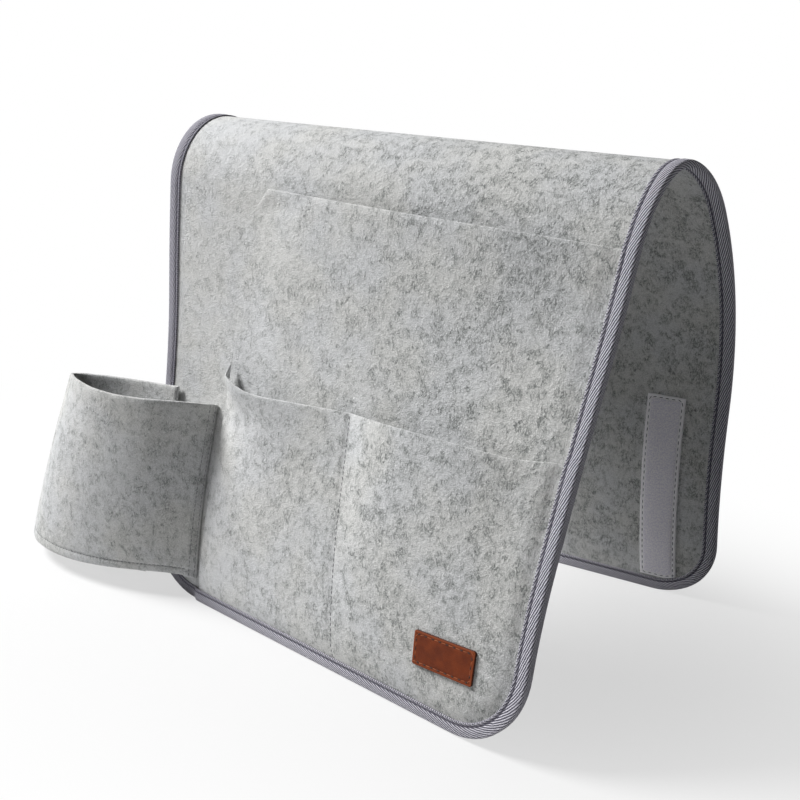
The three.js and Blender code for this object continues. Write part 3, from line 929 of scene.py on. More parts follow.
def make_small_pocket():
    sections, rims = [], []
    for row in rim_rows(SMALL_RIM, 3):
        edge = edge_half_width(row, FRONT_CORNER)
        left, divider = small_left(row), divider_at(row)
        columns = [left + CUT_ROUND * part for part in EDGE_STEPS]
        columns += [mix(columns[-1], divider, i / 48) for i in range(1, 49)]
        columns += [mix(divider, edge, i / 52) for i in range(1, 53)]
        outer, inner = [], []
        for across in columns:
            kept = pressed_side(across, left, SMALL_RIM - row, SMALL_PRESSED)
            cut = drawn_in(min(SMALL_RIM - row, across - left), CUT_ROUND) * kept
            pinch = DIVIDER_PINCH * math.exp(-((across - divider) / DIVIDER_PINCH_WIDE) ** 2)
            run, seat = small_run(across, row), small_seat(across, row)
            thick = (small_top(across, row) - seat) * kept
            seat -= GAP * (1 - max(SEAT_SHARE, kept))
            outer.append((across, run, seat + thick - cut - pinch))
            inner.append((across, run, seat + cut))
        edges = [near_edge(SMALL_RIM - row)] * len(columns)
        rims += edges * 2
        sections.append((outer, inner))
    return fold_piece("small_pocket_felt", *loft(sections), felt, {"rim": rims})


small_pocket = make_small_pocket()

# %% [markdown]
# ## The bottle sleeve
# A strip of felt leaves the panel, runs round and comes back in front of the bound edge. It
# could be a tube with one side cut away, but a strip that someone bends by hand is no circle.
# Its plan is a smooth curve through measured points, one for the foot and one for the rim,
# and each height mixes the two, because the sleeve leans out towards its foot.

# %% Plan curves of the sleeve
SLEEVE_WALL = 2.8
SEWN_SPANS = 0.7
SEWN_HEIGHT, SEWN_WALL = 0.12, 1.3
RIM_POINTS = [Vector(p) for p in (
    (-108.8, 4.1), (-112.5, 11), (-117.5, 19), (-124, 27), (-133, 34.6), (-146, 41), (-163, 46.2),
    (-184, 49), (-206, 45.2), (-225.5, 36), (-238.5, 26),
    (-235.1, 20.3), (-219.5, 12.8), (-196.1, 5.7), (-171.4, 2.2), (-148, 1.3))]
FOOT_POINTS = [Vector(p) for p in (
    (-114, 4.1), (-123, 7.6), (-131.5, 12.5), (-141, 18.3), (-153, 24.8), (-167, 31), (-185, 37),
    (-208, 42), (-234, 44.3), (-263.5, 39), (-286.5, 22),
    (-283.5, 12.8), (-266.2, 6.5), (-238.6, 2.9), (-200.5, 1.7), (-157.3, 1.3))]
FOOT_RUNS = [15.3, 16.3, 16.2, 15.7, 14.8, 13.6, 12.1, 10.6, 10, 9.6,
             9.3, 9.3, 9.3, 9.3, 9.3, 9.3]
RIM_RUNS = [135.4, 135.6, 135.6, 135.4, 134.8, 133.9, 133.4, 134.4, 135.8, 135.2,
            134, 134.2, 135, 136.2, 137.9, 140]
SLEEVE_SPANS = len(RIM_POINTS) - 1


def along_curve(points, share):
    """A centripetal curve through the points, at a share of their count."""
    last = len(points) - 1
    i = min(int(share * last), last - 1)
    t = share * last - i
    b, c = points[i], points[i + 1]
    a = points[i - 1] if i else 2 * b - c
    d = points[i + 2] if i + 2 <= last else 2 * c - b
    gaps = ((a, b), (b, c), (c, d))
    before, here, after = (math.sqrt(max((q - p).length, 1e-4)) for p, q in gaps)
    leave = ((b - a) / before - (c - a) / (before + here) + (c - b) / here) * here
    arrive = ((c - b) / here - (d - b) / (here + after) + (d - c) / after) * here
    bend = 3 * (c - b) - 2 * leave - arrive
    return b + leave * t + bend * t * t + (2 * (b - c) + leave + arrive) * t ** 3


def curve_way(points, share, near=1e-4):
    """The direction of the curve, from two places a little ahead and behind."""
    ahead = along_curve(points, min(1, share + near))
    behind = along_curve(points, max(0, share - near))
    return (ahead - behind).normalized()


def sleeve_plan(share, up, depth):
    """A point of the plan at a share of the strip, up from its foot and into the felt."""
    spot = along_curve(FOOT_POINTS, share).lerp(along_curve(RIM_POINTS, share), up)
    way = curve_way(FOOT_POINTS, share).lerp(curve_way(RIM_POINTS, share), up).normalized()
    return (spot.x - way.y * depth, spot.y + way.x * depth)


def sleeve_edge_at(runs, share):
    """Where an edge of the strip stands, by a smooth curve through its table."""
    return read_table([i / SLEEVE_SPANS for i in range(len(runs))], runs, share)


def sleeve_place(share, up, depth):
    """A point of the wall; where the strip's end is sewn on, it lies flat on the panel."""
    across, height = sleeve_plan(share, up, depth)
    sewn = ease(1 - share * SLEEVE_SPANS / SEWN_SPANS)
    height = mix(height, SEWN_HEIGHT + SEWN_WALL * (1 - depth / SLEEVE_WALL), sewn)
    run = mix(sleeve_edge_at(FOOT_RUNS, share), sleeve_edge_at(RIM_RUNS, share), up)
    return (across, run, height)


print("the sleeve reaches", round(-HALF_WIDTH - min(p.x for p in FOOT_POINTS), 1),
      "mm past the edge at its foot")

# %% Bottle sleeve
HEM = 5.2
HEM_PINCH, HEM_PINCH_WIDE = 0.5, 0.9
SLEEVE_TALL = SLEEVE_RIM - SLEEVE_FOOT
SLEEVE_ROUND = CUT_ROUND * SLEEVE_WALL / POCKET_FELT
END_ROUND = 0.9
FIRST_SPAN, LAST_SPAN = 7, 26


def sleeve_shares():
    """Places along the strip, closer together at its two rounded ends."""
    count = SLEEVE_SPANS * 8
    start = [part * END_ROUND / (FIRST_SPAN * SLEEVE_SPANS) for part in EDGE_STEPS[:-1]]
    end = [1 - part * END_ROUND / (LAST_SPAN * SLEEVE_SPANS) for part in reversed(EDGE_STEPS[:-1])]
    inner = [i / count for i in range(count + 1)]
    return start + [x for x in inner if start[-1] + 0.003 < x < end[0] - 0.003] + end


def sleeve_levels():
    """Heights up the strip, closer together at its edges and at the hem's stitches."""
    levels = [SLEEVE_ROUND * part for part in EDGE_STEPS]
    middle = steps_between(levels[-1], HEM - 1.2, 1.2)[1:]
    middle += steps_between(HEM - 0.6, HEM + 1.2, 0.6)
    middle += steps_between(HEM + 2.4, SLEEVE_TALL - levels[-1], 3.2)
    return levels + middle + [SLEEVE_TALL - part for part in reversed(levels[:-1])]


def make_bottle_sleeve():
    shares = sleeve_shares()
    sections, rims = [], []
    for level in sleeve_levels():
        outer, inner, edges = [], [], []
        for share in shares:
            from_end = SLEEVE_SPANS * min(share * FIRST_SPAN, (1 - share) * LAST_SPAN)
            from_edge = min(level, SLEEVE_TALL - level, from_end)
            cut = drawn_in(from_edge, SLEEVE_ROUND)
            edges.append(near_edge(from_edge))
            pinch = HEM_PINCH * math.exp(-((level - HEM) / HEM_PINCH_WIDE) ** 2)
            outer.append(sleeve_place(share, level / SLEEVE_TALL, cut + pinch))
            inner.append(sleeve_place(share, level / SLEEVE_TALL, SLEEVE_WALL - cut))
        rims += edges + edges[::-1]
        sections.append((outer, inner))
    return fold_piece("bottle_sleeve_felt", *loft(sections), shaded_sleeve_felt, {"rim": rims})


bottle_sleeve = make_bottle_sleeve()

# %% [markdown]
# The sleeve's base is a piece of felt of the same outline, set just inside the wall and sewn
# through it. A flat cap would leave sharp edges, so six rings of points, drawn in at the
# bottom and at the top, give it rounded ones.

# %% Sleeve base
BASE_RUN = SLEEVE_FOOT + 4.5
BASE_FELT = 2.6
BASE_CLEAR = 0.5
BASE_ROUNDS = [(0.8, 0.0), (0.25, 0.25), (0.0, 0.8),
               (0.0, BASE_FELT - 0.8), (0.25, BASE_FELT - 0.25), (0.8, BASE_FELT)]


def make_sleeve_base():
    shares = [mix(0.24, 0.96, i / 90) for i in range(91)]
    points, faces = [], []
    for inset, rise in BASE_ROUNDS:
        for share in shares:
            up = (BASE_RUN + rise - SLEEVE_FOOT) / SLEEVE_TALL
            across, height = sleeve_plan(share, up, SLEEVE_WALL + BASE_CLEAR + inset)
            points.append((across, BASE_RUN + rise, height))
    count = len(shares)
    last = len(BASE_ROUNDS) - 1
    for i in range(last):
        for k in range(count):
            a, b = i * count + k, i * count + (k + 1) % count
            faces.append((a, b, b + count, a + count))
    for i in (0, last):
        ring = [i * count + k for k in range(count)]
        for k in range(count // 2):
            quad = [ring[k], ring[k + 1], ring[-k - 2], ring[-k - 1]]
            quad = [x for n, x in enumerate(quad) if x not in quad[:n]]
            if len(quad) > 2:
                faces.append(tuple(quad) if i else tuple(quad[::-1]))
    return fold_piece("sleeve_base_felt", points, facing_out(points, faces), shaded_sleeve_felt)


sleeve_base = make_sleeve_base()

# %% [markdown]
# ## The binding tape
# A twill tape is folded in half along its length and sewn round the whole edge, over the felt
# and the pocket layers. A bevelled curve could follow the edge, but it can't step up over a
# layer or keep a pressed stitch groove. So the tape is one section, a folded line with a
# groove and a soft fold, carried round the flat outline. Each point also keeps its place
# along and across the tape. The twill's ribs are too fine to model: the material draws them
# as waves on that place.

# %% Twill tape material
TWILL_SLOPE = 0.36
TWILL_PERIOD, PICK_PERIOD, TEETH_PERIOD = 1.32, 0.9, 1.5
GROOVE = 6.9


def make_twill():
    """Diagonal ribs, a stitch groove painted dark as shade and a toothed selvedge; crisper at the
    right and painted darker towards the left as shade.
    """
    material, board = start_material("lilac grey twill tape")
    place = board.read("tape")
    along = board.first(place)
    across, depth = board.sibling(along, "Y"), board.sibling(along, "Z")
    side = board.first(board.read("pattern"))

    def wave(turns):
        return board.math("SINE", turns * (2 * math.pi)) * 0.5 + 0.5

    wobble = noise(board, place, 300, 2, 0.5)
    rib = wave((across + along * TWILL_SLOPE) / (TWILL_PERIOD * MM) + wobble * 0.55)
    pick = wave(along / (PICK_PERIOD * MM) + wobble * 0.8)
    fuzz = noise(board, place, 1700, 2, 0.6)
    groove = band(board, depth, GROOVE * MM, 1.0 * MM)
    margin = between(board, (GROOVE - 0.2) * MM, (GROOVE + 0.5) * MM, depth)
    selvedge = between(board, 8.0 * MM, 8.5 * MM, depth)
    height = rib * (1 - selvedge) + wave(along / (TEETH_PERIOD * MM)) * selvedge
    crisp = 0.28 + 1.07 * between(board, -0.16, 0.12, side)
    shade = between(board, 0.20, 0.90, height * 0.80 + pick * 0.10 + fuzz * 0.20)
    # The tape is painted darker towards the sheet's left edge: painted shade, as under the
    # sleeve's shadow.
    shade = 0.36 + 0.22 * between(board, -0.14, 0.02, side) + (shade - 0.52) * crisp
    low = mix_colours(board, wobble, screen_colour(66, 64, 82), screen_colour(92, 90, 105))
    high = mix_colours(board, fuzz, screen_colour(202, 200, 211), screen_colour(240, 238, 246))
    ribbed = mix_colours(board, shade, low, high)
    ribbed = mix_colours(board, margin * 0.22, ribbed, screen_colour(52, 50, 66))
    # The stitch groove is painted near black: painted shade in the pressed crease.
    colour = mix_colours(board, groove * 0.85, ribbed, screen_colour(38, 34, 52))
    relief = height * 0.8 + pick * 0.2 + fuzz * 0.2
    finish_material(board, colour, 0.82, relief, depth=0.0006, strength=0.8,
                    settled={"Sheen Weight": 0.1, "Sheen Roughness": 0.5})
    return material


twill = make_twill()
print("one rib of the twill is", TWILL_PERIOD, "mm wide")

# %% Outline of the sheet, as the tape follows it
TAPE_START = 92
TAPE_ENDS_APART = 0.6


def corner_stations(across, run, radius, outward):
    """Round one corner about its centre; outward turns a sine and a cosine into a way out."""
    for i in range(1, CORNER_STEPS + 1):
        turn = i / CORNER_STEPS * math.pi / 2
        x, y = outward(math.sin(turn), math.cos(turn))
        yield (across + radius * x, run + radius * y, -x, -y)


def tape_path(step):
    """Stations (across, run, inward across, inward run) round the flat outline."""
    front, rear = HALF_WIDTH - FRONT_CORNER, HALF_WIDTH - REAR_CORNER
    low, high, start = FRONT_CORNER, SHEET_LENGTH - REAR_CORNER, SHEET_LENGTH - TAPE_START
    end = start - TAPE_ENDS_APART
    stations = [(-HALF_WIDTH, run, 1, 0) for run in steps_between(start, high, step)]
    stations += corner_stations(-rear, high, REAR_CORNER, lambda sine, cosine: (-cosine, sine))
    stations += [(x, SHEET_LENGTH, 0, -1) for x in steps_between(-rear, rear, step)[1:]]
    stations += corner_stations(rear, high, REAR_CORNER, lambda sine, cosine: (sine, cosine))
    stations += [(HALF_WIDTH, run, -1, 0) for run in steps_between(high, low, step)[1:]]
    stations += corner_stations(front, low, FRONT_CORNER, lambda sine, cosine: (cosine, -sine))
    stations += [(x, 0, 0, 1) for x in steps_between(front, -front, step)[1:]]
    stations += corner_stations(-front, low, FRONT_CORNER, lambda sine, cosine: (-sine, -cosine))
    stations += [(-HALF_WIDTH, run, 1, 0) for run in steps_between(low, end, step)[1:]]
    return stations


def lift_at(across, run):
    """How much the pocket layers under the tape lift it at a place on the edge."""
    def cover(over):
        return ease(1 - (over - GAP) / 5)
    if run > SHEET_LENGTH / 2:
        return 0.0
    magazine = cover(magazine_left(0) - across) * cover(run - MAGAZINE_RIM)
    small = cover(small_left(0) - across) * cover(run - SMALL_RIM - SMALL_EDGE_RISE)
    return (PRESSED_FELT + GAP) * max(magazine, 2 * small)


TAPE_FOLD = 1.5
TAPE_SKIN = 0.62
TAPE_SEWN = 0.03


def tape_half(top, selvedge):
    """The outer face of one flange, from its selvedge to the fold: depth and height."""
    line = [(FLANGE, selvedge), (FLANGE - 0.12, top - 0.3)]
    line += [(FLANGE - 0.5, top - 0.08), (FLANGE - 1.2, top - 0.12)]
    line += [(GROOVE + 0.45, top - 0.34), (GROOVE, top - 0.46), (GROOVE - 0.45, top - 0.34)]
    line += [(GROOVE - 1.3, top), (4.4, top + 0.14), (3.0, top + 0.12)]
    for i in range(7):
        turn = math.radians(mix(90, 180, i / 6))
        depth = TAPE_FOLD + TAPE_FOLD * math.cos(turn)
        line.append((depth, top - TAPE_FOLD + TAPE_FOLD * math.sin(turn)))
    return line


def tape_section(lift):
    """The folded tape's outer and inner line, from the front selvedge to the rear one."""
    top, bottom = TAPE_SEAT + lift, -FELT - TAPE_SEAT
    upper = tape_half(top, lift + 2 * TAPE_SEWN)
    lower = [(depth, bottom + top - height) for depth, height in upper]
    lower[0] = (FLANGE, -FELT - 2 * TAPE_SEWN)
    outer = upper + lower[::-1]
    sewn = 9
    inner = []
    for i, (depth, height) in enumerate(outer):
        way = 1 if i < len(upper) else -1
        if i < sewn or i >= len(outer) - sewn:
            inner.append((depth, lift + TAPE_SEWN if way > 0 else -FELT - TAPE_SEWN))
        elif depth > TAPE_FOLD:
            inner.append((depth, height - TAPE_SKIN * way))
        else:
            inner.append((depth + TAPE_SKIN * (1.6 - depth) / 1.6 + 0.08,
                          mix(height, (top + bottom) / 2, 0.12)))
    return outer, inner


print("the tape follows", len(tape_path(4)), "stations")

# %% Binding tape
def make_binding_tape():
    sections, marks = [], []
    along, before = 0.0, None
    for across, run, in_across, in_run in tape_path(4):
        middle = (across + in_across * 3, run + in_run * 3)
        along += math.dist(middle, before or middle)
        before = middle
        outer, inner = tape_section(lift_at(across, run))
        width = [0.0]
        for here, there in zip(outer, outer[1:]):
            width.append(width[-1] + math.dist(here, there))
        sections.append([
            [(across + in_across * depth, run + in_run * depth, height) for depth, height in line]
            for line in (outer, inner)
        ])
        marks += [(along * MM, w * MM, p[0] * MM) for w, p in zip(width, outer)]
        marks += [(along * MM, w * MM, p[0] * MM) for w, p in zip(width[::-1], inner[::-1])]
    print("the tape is", round(along), "mm long")
    return fold_piece("binding_tape", *loft(sections), twill, {"tape": marks})


binding_tape = make_binding_tape()

# %% [markdown]
# ## The leather patch
# A small patch of brown leather is sewn low on the right-hand pocket. A box with a Bevel
# modifier would stand off the curved felt at its corners. So it is a plate drawn in columns
# that follows the pocket's bulge, with small round corners, a rounded cut edge and a line
# pressed in by the stitching.

# %% Leather material
PATCH_LONG, PATCH_TALL, PATCH_THICK = 43, 19.7, 1.4
PATCH_FOOT, PATCH_RIGHT = 32.2, HALF_WIDTH - 33.1
PATCH_CORNER = 1.4
PATCH_RISE = 1.5
PATCH_STITCH = 1.9
PATCH_ROUND = 0.4
PATCH_GROOVE, PATCH_GROOVE_WIDE = 0.22, 0.45


def make_leather():
    """Soft clouds and fine creases, with a paler worn border and a burnt cut edge."""
    material, board = start_material("brown leather")
    place = board.read("pattern")
    inset = board.first(board.read("rim"))
    clouds = between(board, 0.3, 0.7, noise(board, place, 120, 3, 0.6))
    grain = board.add("ShaderNodeTexVoronoi", {"feature": "DISTANCE_TO_EDGE"}, {
        "Vector": place, "Scale": 1300.0,
    })
    pores = noise(board, place, 2100, 2, 0.6)
    base = mix_colours(board, clouds, screen_colour(100, 41, 14), screen_colour(124, 54, 19))
    worn = 1 - between(board, 0.8 * MM, 1.7 * MM, inset)
    burnt = 1 - between(board, 0.0, 0.35 * MM, inset)
    colour = mix_colours(board, worn * 0.55, base, screen_colour(150, 74, 36))
    colour = mix_colours(board, burnt * 0.8, colour, screen_colour(52, 22, 12))
    creases = between(board, 0.0, 0.12, grain)
    relief = creases * 0.6 + pores * 0.4
    finish_material(board, colour, 0.52 + pores * 0.14, relief, depth=0.00018, strength=0.5,
                    settled={"Specular IOR Level": 0.2})
    return material


leather = make_leather()
print("the patch is", PATCH_LONG, "x", PATCH_TALL, "mm")

# %% Leather patch
def patch_foot(column):
    """The patch's lower edge, which rises a little to the right."""
    return PATCH_FOOT + PATCH_RISE * (column / PATCH_LONG - 0.5)


def make_leather_patch():
    columns = edged_steps([0.0, 0.12, 0.35, 0.8, 1.3, PATCH_CORNER], PATCH_LONG, 1.0)
    rises = edged_steps([0.0, 0.12, 0.35, 0.9, 1.45, 1.9, 2.35], PATCH_TALL, 1.0)
    sections, marks = [], []
    for column in columns:
        across = PATCH_RIGHT - PATCH_LONG + column
        back = max(0.0, PATCH_CORNER - min(column, PATCH_LONG - column))
        trim = PATCH_CORNER - math.sqrt(max(0.0, PATCH_CORNER ** 2 - back * back))
        tall = PATCH_TALL - 2 * trim
        outer, inner, rims = [], [], []
        for rise in rises:
            up = rise / PATCH_TALL
            run = patch_foot(column) + mix(trim, PATCH_TALL - trim, up)
            inset = min(column, PATCH_LONG - column, up * tall, (1 - up) * tall)
            seat = small_top(across, run) + 0.05
            groove = PATCH_GROOVE * math.exp(-((inset - PATCH_STITCH) / PATCH_GROOVE_WIDE) ** 2)
            top = seat + PATCH_THICK - drawn_in(inset, PATCH_ROUND) - groove
            outer.append((across, run, top))
            inner.append((across, run, seat))
            rims.append((inset * MM, 0.0, 0.0))
        sections.append((outer, inner))
        marks += rims + [(0.0, 0.0, 0.0)] * len(rims)
    return fold_piece("leather_patch_dressed", *loft(sections), leather, {"rim": marks})


leather_patch = make_leather_patch()

# %% [markdown]
# ## The loop tape strips
# Two strips of loop tape are sewn inside the rear leg, to grip the mattress. A woven border
# frames a field of tiny fuzzy loops. The loops could be hairs, but at this size they show
# only as fuzz, so the plate has a soft raised field and the material makes it rough.

# %% Loop tape material and strips
STRIP_WIDE, STRIP_LONG, STRIP_THICK = 26, 131, 1.2
STRIP_INSET, STRIP_FOOT = 27.5, 10.5
STRIP_SKIN, STRIP_ROUND, STRIP_CROWN = 0.35, 0.5, 0.3
STRIP_BORDER = 2.2


def make_loop_material():
    """A plain woven border round a field of fuzzy loops."""
    material, board = start_material("grey loop tape")
    place = board.read("pattern")
    inset = board.first(board.read("rim"))
    fuzz = noise(board, place, 1100, 4, 0.65)
    clouds = noise(board, place, 240, 2, 0.5)
    field = between(board, 2.4 * MM, 3.4 * MM, inset + (fuzz - 0.5) * (1.2 * MM))
    woven = mix_colours(board, clouds, screen_colour(250, 249, 255), screen_colour(255, 254, 255))
    lit = between(board, 0.35, 0.68, fuzz)
    loops = mix_colours(board, lit, screen_colour(226, 223, 238), screen_colour(255, 252, 255))
    colour = mix_colours(board, field, woven, loops)
    relief = fuzz * (0.2 + 0.8 * field)
    finish_material(board, colour, 0.95, relief, depth=0.0005, strength=0.7,
                    settled={"Sheen Weight": 0.4})
    return material


loop_tape = make_loop_material()


def on_strip(column, rise):
    """A place on the right-hand strip, whose foot follows the tape round the corner."""
    across = HALF_WIDTH - STRIP_INSET - column
    reach = REAR_CORNER - FLANGE - GAP
    over = max(0.0, abs(across) - (HALF_WIDTH - REAR_CORNER))
    foot = max(STRIP_FOOT, REAR_CORNER - math.sqrt(reach * reach - over * over) + GAP)
    return across, SHEET_LENGTH - mix(STRIP_FOOT + STRIP_LONG, foot, rise / STRIP_LONG)


def make_loop_strip(name, sign):
    edges = [0.0, 0.15, 0.45, 1.2, 2.3, 3.0]
    sections, marks = [], []
    for rise in edged_steps(edges, STRIP_LONG, 2):
        outer, inner, rims = [], [], []
        for column in edged_steps(edges, STRIP_WIDE, 2):
            across, run = on_strip(column, rise)
            inset = min(column, STRIP_WIDE - column, rise, STRIP_LONG - rise)
            seat = -FELT - 0.06
            lowered = drawn_in(inset, STRIP_ROUND) - STRIP_CROWN * ease((inset - STRIP_BORDER) / 2)
            outer.append((sign * across, run, seat))
            inner.append((sign * across, run, seat - STRIP_THICK + STRIP_SKIN + lowered))
            rims.append((inset * MM, 0.0, 0.0))
        sections.append((outer, inner))
        marks += rims + rims[::-1]
    return fold_piece(name, *loft(sections), loop_tape, {"rim": marks})


loop_right = make_loop_strip("loop_tape_right", 1)
loop_left = make_loop_strip("loop_tape_left", -1)

# %% [markdown]
# ## Stitches
# A seam is the same stitch again and again along a line, which is what Geometry Nodes are
# for. Stitches could be painted on, but real thread catches the light. The line is drawn flat
# with a direction on each point that says which side of the felt it lies on. The tree folds
# the line, spaces points along it and puts one small thread on each point, lying along the
# seam.

# %% The stitching tree
def make_stitch_tree():
    tree, board, given = new_tree("Sew along a line", [
        ("Former", "NodeSocketObject", None),
        ("Finish", "NodeSocketMaterial", None),
        ("Pitch", "NodeSocketFloat", 0.003),
        ("Stitch length", "NodeSocketFloat", 0.0022),
        ("Thread", "NodeSocketFloat", 0.0005),
        ("Seed", "NodeSocketInt", 7),
    ])
    fold = {"node_tree": fold_tree}
    flat, former_in = given("Geometry"), given("Former")
    line = board.add("GeometryNodeGroup", fold, {"Geometry": flat, "Former": former_in})
    nudged = board.add("GeometryNodeSetPosition", {}, {
        "Geometry": flat, "Offset": board.stored("away"),
    })
    second = board.add("GeometryNodeGroup", fold, {"Geometry": nudged, "Former": former_in})
    spot = board.add("GeometryNodeInputPosition")
    there = board.add(
        "GeometryNodeSampleIndex",
        {"data_type": "FLOAT_VECTOR", "domain": "POINT"},
        {"Geometry": second, "Value": spot, "Index": board.add("GeometryNodeInputIndex")},
    )
    off = board.add("ShaderNodeVectorMath", {"operation": "SUBTRACT"}, {0: there, 1: spot})
    up = board.add("ShaderNodeVectorMath", {"operation": "NORMALIZE"}, {0: off})
    curve = board.add("GeometryNodeMeshToCurve", {}, {"Mesh": board.store(line, "up", up)})
    spaced = board.add("GeometryNodeResampleCurve", {"mode": "LENGTH"}, {
        "Curve": curve, "Length": given("Pitch"),
    })
    way = board.add("GeometryNodeInputTangent")
    aim = board.add(
        "FunctionNodeAxesToRotation",
        {"primary_axis": "Z", "secondary_axis": "X"},
        {"Primary Axis": board.stored("up"), "Secondary Axis": way},
    )
    tilt = board.add("FunctionNodeRandomValue", {"data_type": "FLOAT"}, {
        "Min_001": -0.07, "Max_001": 0.07, "Seed": given("Seed"),
    }, "Value_001")
    turned = board.add("ShaderNodeCombineXYZ", {}, {2: tilt})
    spin = board.add("FunctionNodeEulerToRotation", {}, {0: turned})
    rotation = board.add(
        "FunctionNodeRotateRotation",
        {"rotation_space": "LOCAL"},
        {"Rotation": aim, "Rotate By": spin},
    )
    ball = board.add("GeometryNodeMeshUVSphere", {}, {"Segments": 6, "Rings": 5, "Radius": 0.5})
    size = board.add("ShaderNodeCombineXYZ", {}, {
        0: given("Thread"), 1: given("Thread"), 2: given("Stitch length"),
    })
    lying = board.add("GeometryNodeTransform", {}, {
        "Geometry": ball, "Scale": size, "Rotation": (0.0, math.pi / 2, 0.0),
    })
    threads = board.add("GeometryNodeInstanceOnPoints", {}, {
        "Points": spaced, "Instance": lying, "Rotation": rotation,
    })
    real = board.add("GeometryNodeRealizeInstances", {}, {"Geometry": threads})
    soft = board.add("GeometryNodeSetShadeSmooth", {}, {0: real})
    dressed = board.add("GeometryNodeSetMaterial", {}, {
        "Geometry": soft, "Material": given("Finish"),
    })
    board.add("NodeGroupOutput", {}, {"Geometry": dressed})
    return tree


stitch_tree = make_stitch_tree()


def sew(name, lines, thread, pitch, length, diameter, seed=7):
    """Sews along flat lines; each point of a line is (across, run, height, away)."""
    points, edges, away = [], [], []
    for line in lines:
        first = len(points)
        for across, run, height, side in line:
            points.append((across, run, height))
            away.append(tuple(x * MM for x in side))
        edges += [(first + i, first + i + 1) for i in range(len(line) - 1)]
    flat = flat_object(name, points, [], {"away": away}, edges)
    return run_tree(name, flat, stitch_tree, {
        "Former": former, "Finish": thread, "Pitch": pitch * MM, "Stitch length": length * MM,
        "Thread": diameter * MM, "Seed": seed,
    })


print("the stitching tree has", len(stitch_tree.nodes), "nodes")

# %% Threads
def make_thread(name, dark, light):
    material, board = start_material(name)
    place = board.add("ShaderNodeTexCoord", {}, {}, "Object")
    twist = between(board, 0.3, 0.7, noise(board, place, 900, 2, 0.6))
    lay = noise(board, place, 2600, 1, 0.5)
    colour = mix_colours(board, twist, screen_colour(*dark), screen_colour(*light))
    finish_material(board, colour, 0.7, lay, depth=0.0001, strength=0.5)
    return material


tape_thread = make_thread("dark lilac thread", (66, 62, 82), (104, 100, 118))
grey_thread = make_thread("grey thread", (84, 86, 89), (122, 124, 127))
tan_thread = make_thread("rust thread", (150, 78, 38), (186, 104, 56))
# The needle holes' dark colour is painted shade.
needle_hole_shade = make_thread("dark brown painted shade of needle holes", (38, 16, 8), (52, 24, 12))
UP, DOWN = (0, 0, 1), (0, 0, -1)
SUNK = 0.4
print("threads ready")

# %% Stitches of the binding, on both faces
def binding_lines():
    outer, inner = [], []
    for across, run, in_across, in_run in tape_path(4):
        x, y = across + in_across * GROOVE, run + in_run * GROOVE
        outer.append((x, y, TAPE_SEAT + lift_at(across, run) - SUNK, UP))
        inner.append((x, y, -FELT - TAPE_SEAT + SUNK, DOWN))
    return [outer, inner]


binding_stitches = sew("binding_stitches", binding_lines(), tape_thread,
                       pitch=4.0, length=3.0, diameter=0.5)

# %% Stitches of the pockets and the sleeve
def divider_line():
    line = []
    for row in steps_between(11, SMALL_RIM - 3, 4):
        across = divider_at(row)
        line.append((across, small_run(across, row), small_top(across, row) - 0.45, UP))
    return line


def sleeve_side(share, up, out):
    """A place on the sleeve's outer face, with the way that it faces."""
    near, far = sleeve_place(share, up, 0), sleeve_place(share, up, -1)
    away = (far[0] - near[0], 0.0, far[2] - near[2])
    x, y, z = sleeve_place(share, up, -out)
    return (x, y, z, away)


def sleeve_lines():
    """Two rows down the sewn end and one along the hem."""
    rises = steps_between(2.0 / SLEEVE_TALL, 1 - 2.0 / SLEEVE_TALL, 4 / SLEEVE_TALL)
    lines = [[sleeve_side(share, up, 0.05) for up in rises] for share in (0.014, 0.034)]
    hem_shares = [mix(0.06, 0.93, i / 120) for i in range(121)]
    lines.append([sleeve_side(share, HEM / SLEEVE_TALL, -0.42) for share in hem_shares])
    return lines


pocket_stitches = sew("pocket_stitches", [divider_line()], grey_thread,
                      pitch=3.2, length=2.3, diameter=0.45)
sleeve_stitches = sew("sleeve_stitches", sleeve_lines(), grey_thread,
                      pitch=3.0, length=2.5, diameter=0.38, seed=11)

# %% Stitches of the leather patch
def patch_stitch_line(first=0.0, sink=0.12):
    """The stitched rectangle, begun half a stitch further along for the needle holes."""
    low, right, high = PATCH_STITCH, PATCH_LONG - PATCH_STITCH, PATCH_TALL - PATCH_STITCH
    start = (low + first, low)
    corners = [start, (right, low), (right, high), (low, high), (low, low), start]
    line = []
    for (c0, r0), (c1, r1) in zip(corners, corners[1:]):
        count = math.ceil((abs(c1 - c0) + abs(r1 - r0)) / 1.6)
        for i in range(count):
            column, rise = mix(c0, c1, i / count), mix(r0, r1, i / count)
            across = PATCH_RIGHT - PATCH_LONG + column
            run = patch_foot(column) + rise
            line.append((across, run, small_top(across, run) + PATCH_THICK - sink, UP))
    return line + line[:1]


PATCH_PITCH = 5.02
patch_stitches = sew("patch_stitches", [patch_stitch_line()], tan_thread,
                     pitch=PATCH_PITCH, length=3.1, diameter=0.5)
# Dark threads sunk halfway between the stitches are painted shade in the needle holes.
patch_holes = sew("patch_needle_holes", [patch_stitch_line(PATCH_PITCH / 2, 0.16)], needle_hole_shade,
                  pitch=PATCH_PITCH, length=2.1, diameter=0.9)

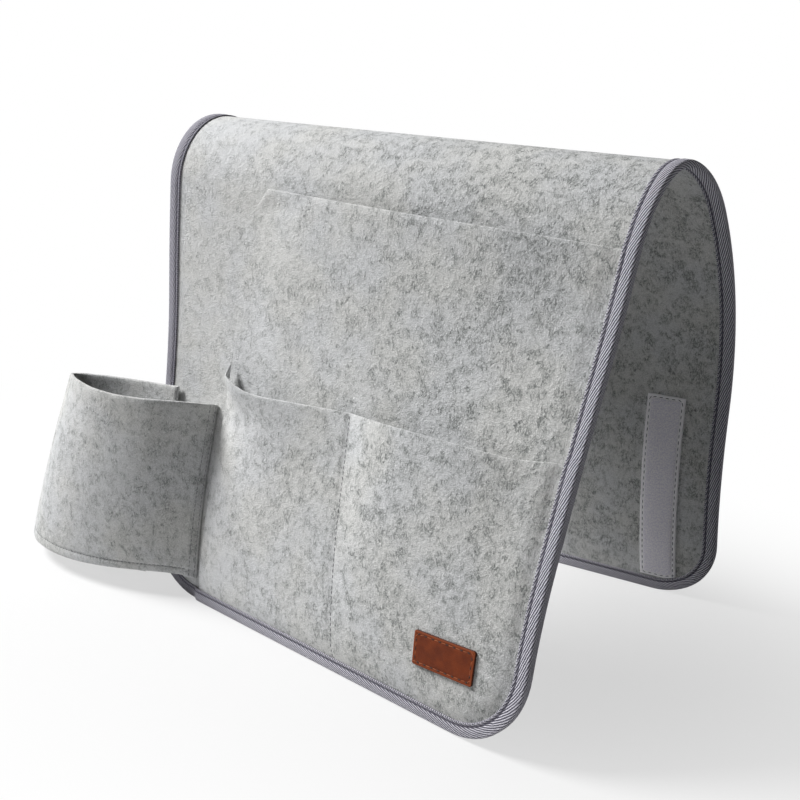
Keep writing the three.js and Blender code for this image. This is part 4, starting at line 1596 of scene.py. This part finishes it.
# %% Stitches of the loop tape strips
def strip_line(sign):
    """The stitched rectangle, two millimetres inside a strip's edge."""
    low, right, high = 2.0, STRIP_WIDE - 2.0, STRIP_LONG - 2.0
    columns, rises = steps_between(low, right, 3), steps_between(low, high, 4)
    line = [(column, high) for column in columns]
    line += [(right, rise) for rise in rises[-2::-1]]
    line += [(column, low) for column in columns[-2::-1]]
    line += [(low, rise) for rise in rises[1:]]
    places = [on_strip(column, rise) for column, rise in line]
    return [(sign * across, run, -FELT - STRIP_THICK + 0.3, DOWN) for across, run in places]


strip_stitches = sew("strip_stitches", [strip_line(1), strip_line(-1)], tape_thread,
                     pitch=4.2, length=2.6, diameter=0.5, seed=5)

# %% [markdown]
# ## Hand the pieces to the frame
# The hinge of the CAD model stands for the felt's own bend over the rail. If the sheet were
# cut at the bend, the two legs would come apart there as it opens. So the sheet, its tape and
# the tape's stitches stay whole across the bend, in the places they were built in, and
# everything else rides on the leg that it is sewn to.

for piece in (felt_sheet, binding_tape, binding_stitches):
    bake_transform(piece)
for piece in (magazine_pocket, small_pocket, bottle_sleeve, sleeve_base, leather_patch,
              pocket_stitches, sleeve_stitches, patch_stitches, patch_holes):
    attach(piece, "front_leg")
for piece in (loop_right, loop_left, strip_stitches):
    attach(piece, "rear_leg")

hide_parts("front_panel", "top_bend", "rear_panel")
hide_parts("binding_front", "binding_bend_left", "binding_bend_right",
            "binding_rear")
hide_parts("magazine_pocket")
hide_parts("small_pocket")
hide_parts("bottle_sleeve")
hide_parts("sleeve_base")
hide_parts("leather_patch")
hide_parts("loop_strip_right")
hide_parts("loop_strip_left")

print("pieces ride on their bodies")

def flat_area(mesh):
    """Half of a thin closed sheet's surface, in square metres."""
    return sum(polygon.area for polygon in mesh.polygons) / 2


print("flat areas, in square metres:", {
    piece.name: round(flat_area(piece.data), 4)
    for piece in (felt_sheet, magazine_pocket, small_pocket, bottle_sleeve, sleeve_base)
})

# %% Drop the former
drop(former)
bpy.context.view_layer.update()
